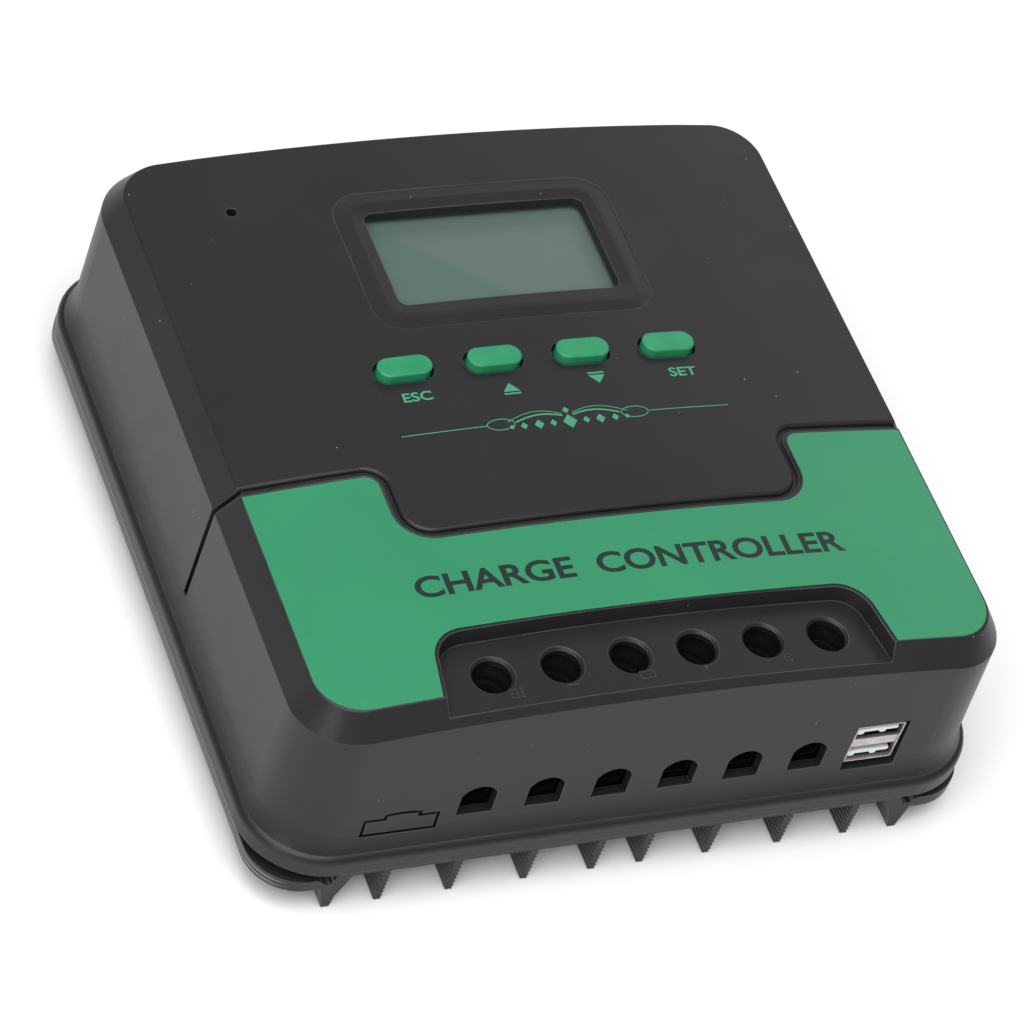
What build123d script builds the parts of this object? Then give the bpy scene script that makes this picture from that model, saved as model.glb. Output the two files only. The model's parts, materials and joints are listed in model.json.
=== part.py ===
from build123d import *
import os
from math import cos, pi, radians, sin, sqrt, tan

# Solar charge controller: a moulded cover on a finned heat sink, with its board, terminals and display.
# Millimetres. +Z up, -Y is the terminal side, origin on the plane of the fin tips below the middle.

# ---- Cover -------------------------------------------------------------------------------------
BASE_X, BASE_Y = 188.2, 187.2     # plan size of the drafted walls at the lip's underside
BASE_CORNER = 17.4
DRAFT = 2.0                       # degrees, wall lean
CROWN_RADIUS = 797.0              # the top arches across X
CROWN_TOP = 69.8
SHOULDER_PLAN, SHOULDER_DROP = 4.3, 6.8
SHOULDER_SOFTEN = 0.7
WALL = 2.6
LIP_BOTTOM, LIP_EDGE_TOP, LIP_TOP, LIP_FLARE_TOP = 14.5, 18.4, 20.3, 27.0
LIP_OUT = 2.9                     # how far the lip stands out from the wall
SKIRT_X, SKIRT_Y, SKIRT_THICK, SKIRT_BOTTOM = 187.0, 186.2, 2.0, 11.25
SKIRT_FREE = 76.0                 # the skirt stops here, short of the heat sink's plate

# Step line between the dark upper area and the label: a tab with rounded corners
STEP_OUTER_Y, STEP_TAB_Y, STEP_TAB_HALF = -17.3, -38.6, 51.2
STEP_CORNER_OUT, STEP_CORNER_IN = 6.7, 6.3
STEP_JOG = 1.1                    # the groove moves back this much as it turns down the side walls
GROOVE_NEAR, GROOVE_FAR, GROOVE_DEPTH = 1.0, 2.2, 1.2
GROOVE_ROUND, LEDGE_FAR, LEDGE_DEPTH = 1.0, 2.9, 0.5
GROOVE_BOTTOM_Z = 26.0

# Label
LABEL_STEP = 3.3                  # label edge, measured from the step line
LABEL_EDGE = 0.5                  # label edge, measured from the top's own edge
LABEL_DEPTH, LABEL_THICK, LABEL_GAP = 0.30, 0.24, 0.15
TOP_HALF_X, TOP_HALF_Y, TOP_CORNER = 88.25, 87.6, 11.6

# Terminal panel, sunk into the front of the top
PANEL_X, PANEL_BACK, PANEL_FRONT = -0.6, -68.9, -87.7
PANEL_HALF_BACK, PANEL_HALF_FRONT, PANEL_CORNER = 55.9, 58.9, 8.5
PANEL_DEPTH, PANEL_SLOPE = 4.4, 14.0
PANEL_SKIN = 2.4

# Terminals
POLES, POLE_PITCH, POLE_X, POLE_Y = 6, 17.5, -0.45, -80.4
DRIVER_HOLE, DRIVER_CHAMFER, DRIVER_MOUTH_DEPTH = 9.6, 0.7, 2.2
TUBE_OD, TUBE_BORE, TUBE_BOTTOM = 13.6, 11.6, 56.3
ENTRY_WIDTH, ENTRY_BOTTOM, ENTRY_SPRING, ENTRY_TOP = 9.2, 27.75, 34.5, 37.6
BLOCK_FRONT, BLOCK_REAR, BLOCK_TOP = -88.9, -69.6, 56.0
CHAMBER_X, CHAMBER_Y, CHAMBER_TOP = 12.4, 10.0, 48.9
MOUTH_WIDTH, MOUTH_BOTTOM, MOUTH_TOP = 8.9, 28.0, 37.0
HEAD_SEAT, HEAD_BORE, NECK_BORE = 50.2, 9.2, 5.6
SCREW_DIA, SCREW_TIP, SCREW_HEAD_DIA, SCREW_HEAD_HIGH = 5.0, 39.7, 8.6, 3.0
HEAD_GAP = 0.1
THREAD_CLEARANCE = 0.05
RECESS_LONG, RECESS_WIDE = 5.0, 1.2
CAGE_X, CAGE_Y, CAGE_Z0, CAGE_Z1 = 11.8, 9.4, 26.2, 43.0
CAGE_FLOOR, CAGE_ROOF, CAGE_INSIDE = 28.2, 40.0, 8.6
BAR_WIDTH, BAR_Z0, BAR_Z1, BAR_LEG_Y, BAR_FRONT = 8.0, 37.8, 39.6, -68.3, -85.2
BAR_SLOT_GAP, BAR_TAIL = 0.2, 22.6

# USB sockets, one above the other
USB_X, USB_CUT_Z, USB_CUT_WIDE, USB_CUT_HIGH = 61.6, 33.15, 14.7, 16.5
USB_Z, USB_WIDE, USB_HIGH, USB_LONG, USB_FRONT = 33.6, 13.2, 13.5, 17.5, -92.2
USB_SHEET, USB_DIVIDER, USB_DIVIDER_SET_BACK, USB_REAR_WALL = 0.35, 2.9, 0.4, 4.0
TONGUE_PITCH, TONGUE_WIDE, TONGUE_THICK, TONGUE_SET_BACK = 8.5, 11.0, 1.2, 0.8
LUGS_X, LUG_WIDE, LUG_HIGH, LUG_DEEP = (0.9, 6.9), 1.7, 0.8, 0.5   # lugs under each tongue's lip
CONTACTS, CONTACT_PITCH, CONTACT_WIDE, CONTACT_THICK, CONTACT_LONG = 4, 2.5, 1.0, 0.2, 8.0

# Unused cable outlet, outlined on the front wall
OUTLET_LEFT, OUTLET_RIGHT, OUTLET_BOTTOM, OUTLET_SHOULDER = -72.3, -53.6, 24.7, 29.9
OUTLET_TAB_LEFT, OUTLET_TAB_RIGHT, OUTLET_TAB_SIDE, OUTLET_TAB_TOP = -67.2, -58.4, 31.2, 31.6
OUTLET_LINE, OUTLET_DEPTH_Y = 0.9, -92.3

# Display window and bezel
BEZEL_X, BEZEL_Y, BEZEL_WIDE, BEZEL_HIGH, BEZEL_CORNER = -0.64, 46.25, 75.4, 46.1, 8.0
BEZEL_RISE, BEZEL_FLANK, BEZEL_FLANK_DROP = 0.15, 3.3, 0.4
OPENING_Y, OPENING_WIDE, OPENING_HIGH, OPENING_CORNER = 46.8, 60.2, 31.4, 2.6
OPENING_SLOPE, OPENING_DROP = 3.2, 0.42
WINDOW_WIDE, WINDOW_HIGH, WINDOW_TOP, WINDOW_THICK = 66.2, 36.6, 66.3, 1.2
WINDOW_FIT = 0.2
SEAT_WIDE, SEAT_HIGH, SEAT_BOTTOM = 72.0, 42.4, 64.7

# Buttons
BUTTON_NAMES = ("esc", "up", "down", "set")
BUTTON_X, BUTTON_Y, BUTTON_PITCH = -1.64, 10.2, 23.66
CAP_WIDE, CAP_HIGH, CAP_PROUD, CAP_SOFTEN = 14.2, 6.3, 2.1, 0.5
BUTTON_HOLE_WIDE, BUTTON_HOLE_HIGH = 15.8, 7.9
FLANGE_WIDE, FLANGE_HIGH, FLANGE_THICK, FLANGE_GAP = 17.6, 9.6, 1.0, 0.25
PLUNGER_DIA = 4.0

# Display board, hung from the cover
DISPLAY_Z0, DISPLAY_Z1 = 58.4, 60.0
DISPLAY_X0, DISPLAY_X1, DISPLAY_Y0, DISPLAY_Y1 = -69.5, 53.5, 1.5, 75.0
DISPLAY_NOTCH_X, DISPLAY_NOTCH_Y = 3.1, 4.1      # corner cut away round a rib of the cover
DISPLAY_BOSSES = ((-64.5, 6.5), (48.5, 6.5), (-52.0, 70.0), (48.5, 70.0))
SWITCH_SIDE, SWITCH_TOP, SWITCH_WELL, SWITCH_BORE = 6.0, 63.4, 61.0, 3.6
STEM_DIA, STEM_BOTTOM, STEM_TOP = 3.4, 61.6, 64.4
LED_X, LED_Y, LED_HOLE = -63.3, 68.2, 2.8
LED_DIA, LED_FLANGE, LED_TOP = 3.0, 3.8, 64.2
LCD_WIDE, LCD_HIGH, LCD_BOTTOM, LCD_TOP = 65.0, 35.5, 62.9, 64.9
LIGHT_BOTTOM, LIGHT_TOP = 60.2, 62.8
LCD_FRAME_WIDE, LCD_FRAME_HIGH, LCD_FRAME_TOP, LCD_FRAME_FIT = 70.0, 40.0, 64.4, 0.2
HEADER_X, HEADER_Y, HEADER_WIDE, HEADER_DEEP, HEADER_HIGH = -60.0, 43.0, 15.0, 5.0, 8.5
RIBBON_WIDE, RIBBON_THICK, RIBBON_BULGE, RIBBON_INTO = 12.7, 0.9, 5.0, 2.0

# Main board
BOARD_Z0, BOARD_Z1 = 23.4, 25.0
BOARD_HALF_X, BOARD_FRONT, BOARD_REAR = 84.0, -88.4, 86.5
STANDOFFS = ((-56, -58), (56, -58), (-67.5, 12), (67.5, 12), (-56, 76), (56, 76))
STANDOFF_ACROSS, STANDOFF_WELL = 5.5, 6.0
COVER_BOSSES = ((-67.9, -66.0), (67.9, -66.0), (-67.9, 80.0), (67.9, 80.0))
BOSS_OD, BOSS_RIB_THICK, BOSS_RIB_LONG, BOSS_RIB_LIFT, BOSS_ROOM = 8.0, 1.8, 17.0, 1.0, 0.7
COVER_SCREW_DIA, COVER_SCREW_GRIP, COVER_SCREW_HOLE = 3.0, 14.0, 3.6
DISPLAY_SCREW_DIA, DISPLAY_SCREW_GRIP, DISPLAY_BOSS_OD = 2.4, 4.0, 6.4
BOARD_SCREW_DIA, BOARD_HOLE = 3.0, 3.4
PAN_HEAD_RATIO, PAN_HEAD_HIGH = 1.85, 1.8

# Power stage, clamped to the heat sink below the main board
MOSFETS, MOSFET_PITCH, MOSFET_FRONT, MOSFET_REAR = 8, 14.0, 12.6, 28.0
MOSFET_WIDE, MOSFET_HIGH, MOSFET_MOULD_LONG, MOSFET_TAB = 10.0, 4.5, 9.0, 1.3
LEADS, LEAD_PITCH, LEAD_Y, LEAD_WIDE, LEAD_THICK, LEAD_Z, LEAD_TOP = 3, 2.54, 8.6, 0.8, 0.5, 17.2, 26.0
LEAD_HOLE = 1.3
PAD_THICK, PAD_WIDE, PAD_LONG = 0.3, 10.6, 18.0
CLAMP_HALF, CLAMP_Y, CLAMP_DEEP, CLAMP_THICK = 60.0, 20.0, 8.0, 2.5
CLAMP_SCREWS_X = (-56.0, 0.0, 56.0)
CLAMP_SCREW_TIP, CLAMP_HEAD_HIGH = 11.6, 1.4

# Parts that stand on the main board
CORE_X, CORE_Y, CORE_OUTER, CORE_INNER, CORE_HIGH = 30.0, -30.0, 27.0, 14.0, 11.0
TURNS, WIRE, WIRE_GAP = 16, 1.1, 0.2
FILTER_CAPS_X = (-42.0, -22.0, -2.0, 18.0)
OUTPUT_CAPS_X = (36.0, 50.0)
CAPS_Y, CAP_LIFT, CRIMP_DEPTH, CRIMP_HIGH = 55.0, 0.3, 0.6, 3.0
FUSE_X, FUSES_Y = -40.0, (-44.0, -30.0)
FUSE_WIDE, FUSE_DEEP, FUSE_HIGH, BLADE_WIDE, BLADE_THICK, BLADE_LONG = 19.1, 5.1, 12.0, 5.1, 0.7, 7.0
BLADE_SPACING, HOLDER_WIDE, HOLDER_DEEP, HOLDER_HIGH, BLADE_FIT = 13.0, 21.5, 8.0, 9.0, 0.1
SHUNT_Y, SHUNT_WIDE, SHUNT_THICK, SHUNT_HALF, SHUNT_HIGH = -50.0, 4.0, 1.0, 10.0, 8.0
CONTROL_ICS = ((-4.0, -18.0, 12.0, 12.0), (-28.0, -8.0, 10.0, 6.0), (56.0, -4.0, 10.0, 6.0))
IC_HIGH, IC_STAND, PIN_PITCH, PIN_WIDE, PIN_OUT = 1.6, 0.1, 1.27, 0.5, 1.0
BUZZER_X, BUZZER_Y, BUZZER_DIA, BUZZER_HIGH, BUZZER_HOLE = 66.0, 38.0, 12.0, 9.5, 2.0

# Heat sink
SINK_HALF_Y, SINK_TOP, PLATE_BOTTOM, PLATE_HALF = 95.0, 14.5, 11.4, 74.0
EAR_HALF_X, EAR_TOP, EAR_BOTTOM, EAR_CORNER = 95.2, 11.1, 7.6, 13.0
NOTCH_X, NOTCH_Z, NOTCH_FAR = 77.1, 8.2, 80.4
OUTER_FIN_ROOT, OUTER_FIN_INSIDE, OUTER_FIN_OUTSIDE, OUTER_FIN_EAR = 71.5, 75.3, 77.3, 79.0
OUTER_FIN_WAIST_X, OUTER_FIN_WAIST_Z = 74.7, 3.7
FIN_X = (6.54, 24.55, 44.3, 62.84)
FIN_TIP, FIN_ROOT, FIN_TEETH, FIN_TOOTH = 1.9, 2.8, 8, 0.45
KEYHOLE_X, KEYHOLE_ENTRY_Y, KEYHOLE_TRAVEL = 86.5, (-66.0, 56.0), 10.0
KEYHOLE_ENTRY, KEYHOLE_SLOT = 9.0, 4.6

os.makedirs("parts", exist_ok=True)


def write(piece, name):
    """Label a finished piece and write it as its own STEP file."""
    piece.part.label = name
    export_step(piece.part, f"parts/{name}.step")


def crown_z(x, drop=0.0):
    """Height of the arched top at x, lowered by drop."""
    return CROWN_TOP - CROWN_RADIUS + sqrt((CROWN_RADIUS - drop) ** 2 - x * x)


def under_crown(drop):
    """Everything below the arched top, lowered by drop."""
    side = 110.0
    with BuildPart() as core:
        with BuildSketch(Plane.XZ):
            with BuildLine():
                ThreePointArc((-side, crown_z(side, drop)), (0, CROWN_TOP - drop), (side, crown_z(side, drop)))
                Polyline((-side, crown_z(side, drop)), (-side, 0), (side, 0), (side, crown_z(side, drop)))
            make_face()
        extrude(amount=130, both=True)
    return core.part


def crowned_block(inset, softened=False):
    """The cover's outer body, shrunk by inset all round: drafted walls, arched top, sloped shoulder."""
    with BuildPart() as block:
        with BuildSketch(Plane.XY.offset(LIP_BOTTOM)):
            RectangleRounded(BASE_X - 2 * inset, BASE_Y - 2 * inset, BASE_CORNER - inset)
        extrude(amount=62, taper=DRAFT)
        add(under_crown(inset), mode=Mode.INTERSECT)
        top = block.faces().filter_by(GeomType.CYLINDER).sort_by(Axis.Z)[-1]
        chamfer(top.outer_wire().edges(), length=SHOULDER_PLAN, length2=SHOULDER_DROP, reference=top)
        if softened:
            top = block.faces().filter_by(GeomType.CYLINDER).sort_by(Axis.Z)[-1]
            fillet(top.outer_wire().edges(), radius=SHOULDER_SOFTEN)
    return block.part


def lip_ring():
    """The flared lip round the foot of the walls, swept round half their outline and mirrored."""
    front = -BASE_Y / 2
    lean = tan(radians(DRAFT))
    edge = front - LIP_OUT
    with BuildPart() as ring:
        with BuildLine(Plane.XY.offset(LIP_BOTTOM)) as outline:
            FilletPolyline(
                (0, front),
                (BASE_X / 2, front),
                (BASE_X / 2, -front),
                (0, -front),
                radius=BASE_CORNER,
            )
        with BuildSketch(Plane.YZ):
            with BuildLine():
                Polyline((front + WALL, LIP_BOTTOM), (edge, LIP_BOTTOM), (edge, LIP_EDGE_TOP))
                ThreePointArc((edge, LIP_EDGE_TOP), (edge + 0.5, LIP_EDGE_TOP + 1.25), (edge + 1.5, LIP_TOP))
                ThreePointArc(
                    (edge + 1.5, LIP_TOP),
                    (edge + 2.75, LIP_TOP + 2.6),
                    (front + lean * (LIP_FLARE_TOP - LIP_BOTTOM), LIP_FLARE_TOP),
                )
                Polyline(
                    (front + lean * (LIP_FLARE_TOP - LIP_BOTTOM), LIP_FLARE_TOP),
                    (front + WALL, LIP_FLARE_TOP),
                    (front + WALL, LIP_BOTTOM),
                )
            make_face()
        sweep(path=outline.wires()[0])
        mirror(about=Plane.YZ)
    return ring.part


def step_outline(away):
    """Plan area of the dark upper part, grown by away past the step line."""
    jog_y = STEP_OUTER_Y + STEP_JOG - away
    outer_y = STEP_OUTER_Y - away
    tab_y = STEP_TAB_Y - away
    tab = STEP_TAB_HALF + away
    shoulder = BASE_X / 2 - 1.5
    with BuildSketch() as area:
        with BuildLine():
            FilletPolyline(
                (-110, jog_y),
                (-shoulder, jog_y),
                (-TOP_HALF_X, outer_y),
                (-tab, outer_y),
                (-tab, tab_y),
                (tab, tab_y),
                (tab, outer_y),
                (TOP_HALF_X, outer_y),
                (shoulder, jog_y),
                (110, jog_y),
                radius=(
                    0.8,
                    0.8,
                    STEP_CORNER_OUT - away,
                    STEP_CORNER_IN + away,
                    STEP_CORNER_IN + away,
                    STEP_CORNER_OUT - away,
                    0.8,
                    0.8,
                ),
            )
            Polyline((-110, jog_y), (-110, 110), (110, 110), (110, jog_y))
        make_face()
    return area.sketch


def panel_outline(grow):
    """Plan area of the sunk terminal panel, open to the front, grown by grow."""
    lean = (PANEL_HALF_FRONT - PANEL_HALF_BACK) / (PANEL_BACK - PANEL_FRONT)
    front = -110.0
    half_front = PANEL_HALF_BACK + lean * (PANEL_BACK - front) + grow
    half_back = PANEL_HALF_BACK + grow
    back = PANEL_BACK + grow
    with BuildSketch() as area:
        with BuildLine():
            FilletPolyline(
                (PANEL_X - half_front, front),
                (PANEL_X - half_back, back),
                (PANEL_X + half_back, back),
                (PANEL_X + half_front, front),
                radius=PANEL_CORNER + grow,
            )
            Line((PANEL_X + half_front, front), (PANEL_X - half_front, front))
        make_face()
    return area.sketch


def pole_places():
    """Plan places of the terminals, left to right."""
    return [(POLE_X + (i - (POLES - 1) / 2) * POLE_PITCH, POLE_Y) for i in range(POLES)]


def button_places():
    """Plan places of the buttons, left to right."""
    count = len(BUTTON_NAMES)
    return [(BUTTON_X + (i - (count - 1) / 2) * BUTTON_PITCH, BUTTON_Y) for i in range(count)]


def crest_edges(piece):
    """Outer edges of the groove on its upper side, across the arched top and just over its ends."""
    outline = step_outline(GROOVE_NEAR).faces()[0].outer_wire()
    floor = crowned_block(GROOVE_DEPTH)
    found = []
    for edge in piece.edges():
        middle = edge.position_at(0.5)
        if abs(middle.X) > TOP_HALF_X + 1 or middle.Z < GROOVE_BOTTOM_Z:
            continue
        samples = [edge.position_at(t) for t in (0.0, 0.5, 1.0)]
        on_line = all(outline.distance_to(Vector(p.X, p.Y, 0)) < 0.02 for p in samples)
        if on_line and floor.distance_to(middle) > 0.3:
            found.append(edge)
    return found


def is_driver_mouth(edge):
    """True for the upper rim of a screwdriver hole."""
    if edge.length < pi * DRIVER_HOLE * 0.9:
        return False
    centre = edge.bounding_box().center()
    if centre.Z < crown_z(centre.X, PANEL_DEPTH) - DRIVER_CHAMFER:
        return False
    return any(abs(centre.X - x) < 0.2 and abs(centre.Y - y) < 0.2 for x, y in pole_places())


# ---- Top cover ---------------------------------------------------------------------------------


def step_groove(near, far, depth):
    """Band along the step line, between two distances from it, down to depth below the outer surface."""
    with BuildPart() as band:
        with BuildSketch(Plane.XY.offset(GROOVE_BOTTOM_Z)):
            add(step_outline(far))
            add(step_outline(near), mode=Mode.SUBTRACT)
        extrude(amount=60)
        add(crowned_block(depth), mode=Mode.SUBTRACT)
    return band.part


with BuildPart() as outside:
    add(crowned_block(0, softened=True))
    add(step_groove(GROOVE_NEAR, GROOVE_FAR, GROOVE_DEPTH), mode=Mode.SUBTRACT)
    fillet(crest_edges(outside), radius=GROOVE_ROUND)
    add(step_groove(GROOVE_FAR - 0.2, LEDGE_FAR, LEDGE_DEPTH), mode=Mode.SUBTRACT)

with BuildPart() as label_pocket:
    with BuildSketch(Plane.XY.offset(50)):
        RectangleRounded(
            2 * (TOP_HALF_X - LABEL_EDGE + LABEL_GAP),
            2 * (TOP_HALF_Y - LABEL_EDGE + LABEL_GAP),
            TOP_CORNER,
        )
        add(step_outline(LABEL_STEP - LABEL_GAP), mode=Mode.SUBTRACT)
    extrude(amount=30)
    add(under_crown(LABEL_DEPTH), mode=Mode.SUBTRACT)

with BuildPart() as panel_cutter:
    with BuildSketch(Plane.XY.offset(CROWN_TOP)):
        add(panel_outline(0))
    extrude(amount=-12, taper=PANEL_SLOPE)
    with BuildSketch(Plane.XY.offset(CROWN_TOP)):
        add(panel_outline(0))
    extrude(amount=5)
    add(under_crown(PANEL_DEPTH), mode=Mode.SUBTRACT)

with BuildPart() as panel_tub:
    with BuildSketch(Plane.XY.offset(50)):
        add(panel_outline(PANEL_SKIN - 0.6))
    extrude(amount=25)
    add(crowned_block(0.5), mode=Mode.INTERSECT)
    add(under_crown(PANEL_DEPTH + PANEL_SKIN), mode=Mode.SUBTRACT)

# What hangs from the cover's underside: bosses for its screws and the display board, the window's seat
with BuildPart() as hanging:
    with BuildSketch(Plane.XY.offset(LIP_BOTTOM)):
        with Locations(*COVER_BOSSES):
            Circle(BOSS_OD / 2)
    extrude(amount=CROWN_TOP)
    with BuildSketch(Plane.XY.offset(BOARD_Z1 + BOSS_RIB_LIFT)):
        with Locations(*COVER_BOSSES):
            Rectangle(BOSS_RIB_THICK, BOSS_RIB_LONG)
    extrude(amount=CROWN_TOP)
    with BuildSketch(Plane.XY.offset(DISPLAY_Z1)):
        with Locations(*DISPLAY_BOSSES):
            Circle(DISPLAY_BOSS_OD / 2)
    extrude(amount=CROWN_TOP)
    with BuildSketch(Plane.XY.offset(SEAT_BOTTOM)):
        with Locations((BEZEL_X, BEZEL_Y)):
            Rectangle(SEAT_WIDE, SEAT_HIGH)
    extrude(amount=CROWN_TOP)
    add(crowned_block(WALL / 2), mode=Mode.INTERSECT)

with BuildPart() as driver_tubes:
    with BuildSketch(Plane.XY.offset(TUBE_BOTTOM)):
        with Locations(*pole_places()):
            Circle(TUBE_OD / 2)
    extrude(amount=CROWN_TOP)
    add(under_crown(PANEL_DEPTH + PANEL_SKIN / 2), mode=Mode.INTERSECT)

with BuildPart() as tube_bores:
    with BuildSketch(Plane.XY.offset(TUBE_BOTTOM)):
        with Locations(*pole_places()):
            Circle(TUBE_BORE / 2)
    extrude(amount=20)
    add(under_crown(PANEL_DEPTH + DRIVER_MOUTH_DEPTH), mode=Mode.INTERSECT)

with BuildPart() as bezel_blank:
    with BuildSketch(Plane.XY.offset(60)):
        with Locations((BEZEL_X, BEZEL_Y)):
            RectangleRounded(BEZEL_WIDE, BEZEL_HIGH, BEZEL_CORNER)
    extrude(amount=20)

# The bezel's flank runs down below the arched top, so its outline is a shallow step
with BuildPart() as bezel_recess:
    add(bezel_blank.part)
    add(under_crown(BEZEL_FLANK_DROP - BEZEL_RISE), mode=Mode.SUBTRACT)

with BuildPart() as bezel:
    add(bezel_blank.part)
    add(under_crown(-BEZEL_RISE), mode=Mode.INTERSECT)
    add(under_crown(WALL - 0.5), mode=Mode.SUBTRACT)
    crest = bezel.faces().filter_by(GeomType.CYLINDER).sort_by(Axis.Z)[-1]
    chamfer(crest.outer_wire().edges(), length=BEZEL_FLANK, length2=BEZEL_FLANK_DROP, reference=crest)
    with BuildSketch(Plane.XY.offset(60)):
        with Locations((BEZEL_X, OPENING_Y)):
            RectangleRounded(OPENING_WIDE, OPENING_HIGH, OPENING_CORNER)
    extrude(amount=20, mode=Mode.SUBTRACT)
    crest = bezel.faces().filter_by(GeomType.CYLINDER).sort_by(Axis.Z)[-1]
    chamfer(crest.inner_wires()[0].edges(), length=OPENING_SLOPE, length2=OPENING_DROP, reference=crest)

with BuildPart() as top_cover:
    add(outside.part)
    add(lip_ring())
    add(crowned_block(WALL), mode=Mode.SUBTRACT)
    add(panel_tub.part)
    # Skirt that stands on the heat sink's ears
    with BuildSketch(Plane.XY.offset(SKIRT_BOTTOM)):
        RectangleRounded(SKIRT_X, SKIRT_Y, BASE_CORNER)
        RectangleRounded(
            SKIRT_X - 2 * SKIRT_THICK,
            SKIRT_Y - 2 * SKIRT_THICK,
            BASE_CORNER - SKIRT_THICK,
            mode=Mode.SUBTRACT,
        )
        Rectangle(2 * SKIRT_FREE, 200, mode=Mode.SUBTRACT)
    extrude(amount=LIP_BOTTOM - SKIRT_BOTTOM + 1.0)
    add(hanging.part)
    add(driver_tubes.part)
    add(panel_cutter.part, mode=Mode.SUBTRACT)
    # Screwdriver holes, wider inside the tubes than at their mouths
    with BuildSketch(Plane.XY.offset(TUBE_BOTTOM)):
        with Locations(*pole_places()):
            Circle(DRIVER_HOLE / 2)
    extrude(amount=30, mode=Mode.SUBTRACT)
    add(tube_bores.part, mode=Mode.SUBTRACT)
    # Window pocket, bezel and opening
    with BuildSketch(Plane.XY.offset(SEAT_BOTTOM)):
        with Locations((BEZEL_X, BEZEL_Y)):
            RectangleRounded(WINDOW_WIDE + 2 * WINDOW_FIT, WINDOW_HIGH + 2 * WINDOW_FIT, 1.0)
    extrude(amount=WINDOW_TOP - SEAT_BOTTOM, mode=Mode.SUBTRACT)
    add(bezel_recess.part, mode=Mode.SUBTRACT)
    add(bezel.part)
    with BuildSketch(Plane.XY.offset(SEAT_BOTTOM)):
        with Locations((BEZEL_X, OPENING_Y)):
            RectangleRounded(OPENING_WIDE, OPENING_HIGH, OPENING_CORNER)
    extrude(amount=20, mode=Mode.SUBTRACT)
    add(label_pocket.part, mode=Mode.SUBTRACT)
    # Button, lamp, terminal, socket and screw holes
    with BuildSketch(Plane.XY.offset(DISPLAY_Z1 + 2)):
        with Locations(*button_places()):
            SlotOverall(BUTTON_HOLE_WIDE, BUTTON_HOLE_HIGH)
        with Locations((LED_X, LED_Y)):
            Circle(LED_HOLE / 2)
    extrude(amount=20, mode=Mode.SUBTRACT)
    with BuildSketch(Plane.XZ.offset(SINK_HALF_Y + 5)):
        for pole_x, pole_y in pole_places():
            with BuildLine():
                Polyline(
                    (pole_x - ENTRY_WIDTH / 2, ENTRY_SPRING),
                    (pole_x - ENTRY_WIDTH / 2, ENTRY_BOTTOM),
                    (pole_x + ENTRY_WIDTH / 2, ENTRY_BOTTOM),
                    (pole_x + ENTRY_WIDTH / 2, ENTRY_SPRING),
                )
                ThreePointArc(
                    (pole_x + ENTRY_WIDTH / 2, ENTRY_SPRING),
                    (pole_x, ENTRY_TOP),
                    (pole_x - ENTRY_WIDTH / 2, ENTRY_SPRING),
                )
            make_face()
        with Locations((USB_X, USB_CUT_Z)):
            Rectangle(USB_CUT_WIDE, USB_CUT_HIGH)
    extrude(amount=-14, mode=Mode.SUBTRACT)
    with BuildSketch(Plane.XZ.offset(-OUTLET_DEPTH_Y)):
        with BuildLine() as outlet_line:
            Polyline(
                (OUTLET_TAB_LEFT, OUTLET_TAB_SIDE),
                (OUTLET_TAB_LEFT, OUTLET_SHOULDER),
                (OUTLET_LEFT, OUTLET_SHOULDER),
                (OUTLET_LEFT, OUTLET_BOTTOM),
                (OUTLET_RIGHT, OUTLET_BOTTOM),
                (OUTLET_RIGHT, OUTLET_SHOULDER),
                (OUTLET_TAB_RIGHT, OUTLET_SHOULDER),
                (OUTLET_TAB_RIGHT, OUTLET_TAB_SIDE),
            )
            ThreePointArc(
                (OUTLET_TAB_RIGHT, OUTLET_TAB_SIDE),
                ((OUTLET_TAB_LEFT + OUTLET_TAB_RIGHT) / 2, OUTLET_TAB_TOP),
                (OUTLET_TAB_LEFT, OUTLET_TAB_SIDE),
            )
        trace(line_width=OUTLET_LINE)
    extrude(amount=8, mode=Mode.SUBTRACT)
    with BuildSketch(Plane.XY.offset(LIP_BOTTOM)):
        with Locations(*COVER_BOSSES):
            Circle(COVER_SCREW_DIA / 2 + THREAD_CLEARANCE)
    extrude(amount=COVER_SCREW_GRIP + 1, mode=Mode.SUBTRACT)
    with BuildSketch(Plane.XY.offset(DISPLAY_Z1)):
        with Locations(*DISPLAY_BOSSES):
            Circle(DISPLAY_SCREW_DIA / 2 + THREAD_CLEARANCE)
    extrude(amount=DISPLAY_SCREW_GRIP + 0.5, mode=Mode.SUBTRACT)
    # Chamfered mouths of the screwdriver holes
    mouths = [edge for edge in top_cover.edges() if is_driver_mouth(edge)]
    chamfer(mouths, length=DRIVER_CHAMFER)
write(top_cover, "top_cover")

# ---- Heat sink ---------------------------------------------------------------------------------


def fin_side(x, side):
    """Saw-toothed side of the fin at x, from its root inside the plate to its tip."""
    rise = PLATE_BOTTOM / FIN_TEETH
    points = [(x + side * FIN_ROOT / 2, PLATE_BOTTOM + 0.5)]
    for tooth in range(FIN_TEETH):
        crest = FIN_ROOT / 2 - (FIN_ROOT - FIN_TIP) / 2 * (tooth + 1) / FIN_TEETH
        points.append((x + side * (crest - FIN_TOOTH), PLATE_BOTTOM - (tooth + 0.5) * rise))
        points.append((x + side * crest, PLATE_BOTTOM - (tooth + 1) * rise))
    return points


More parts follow.
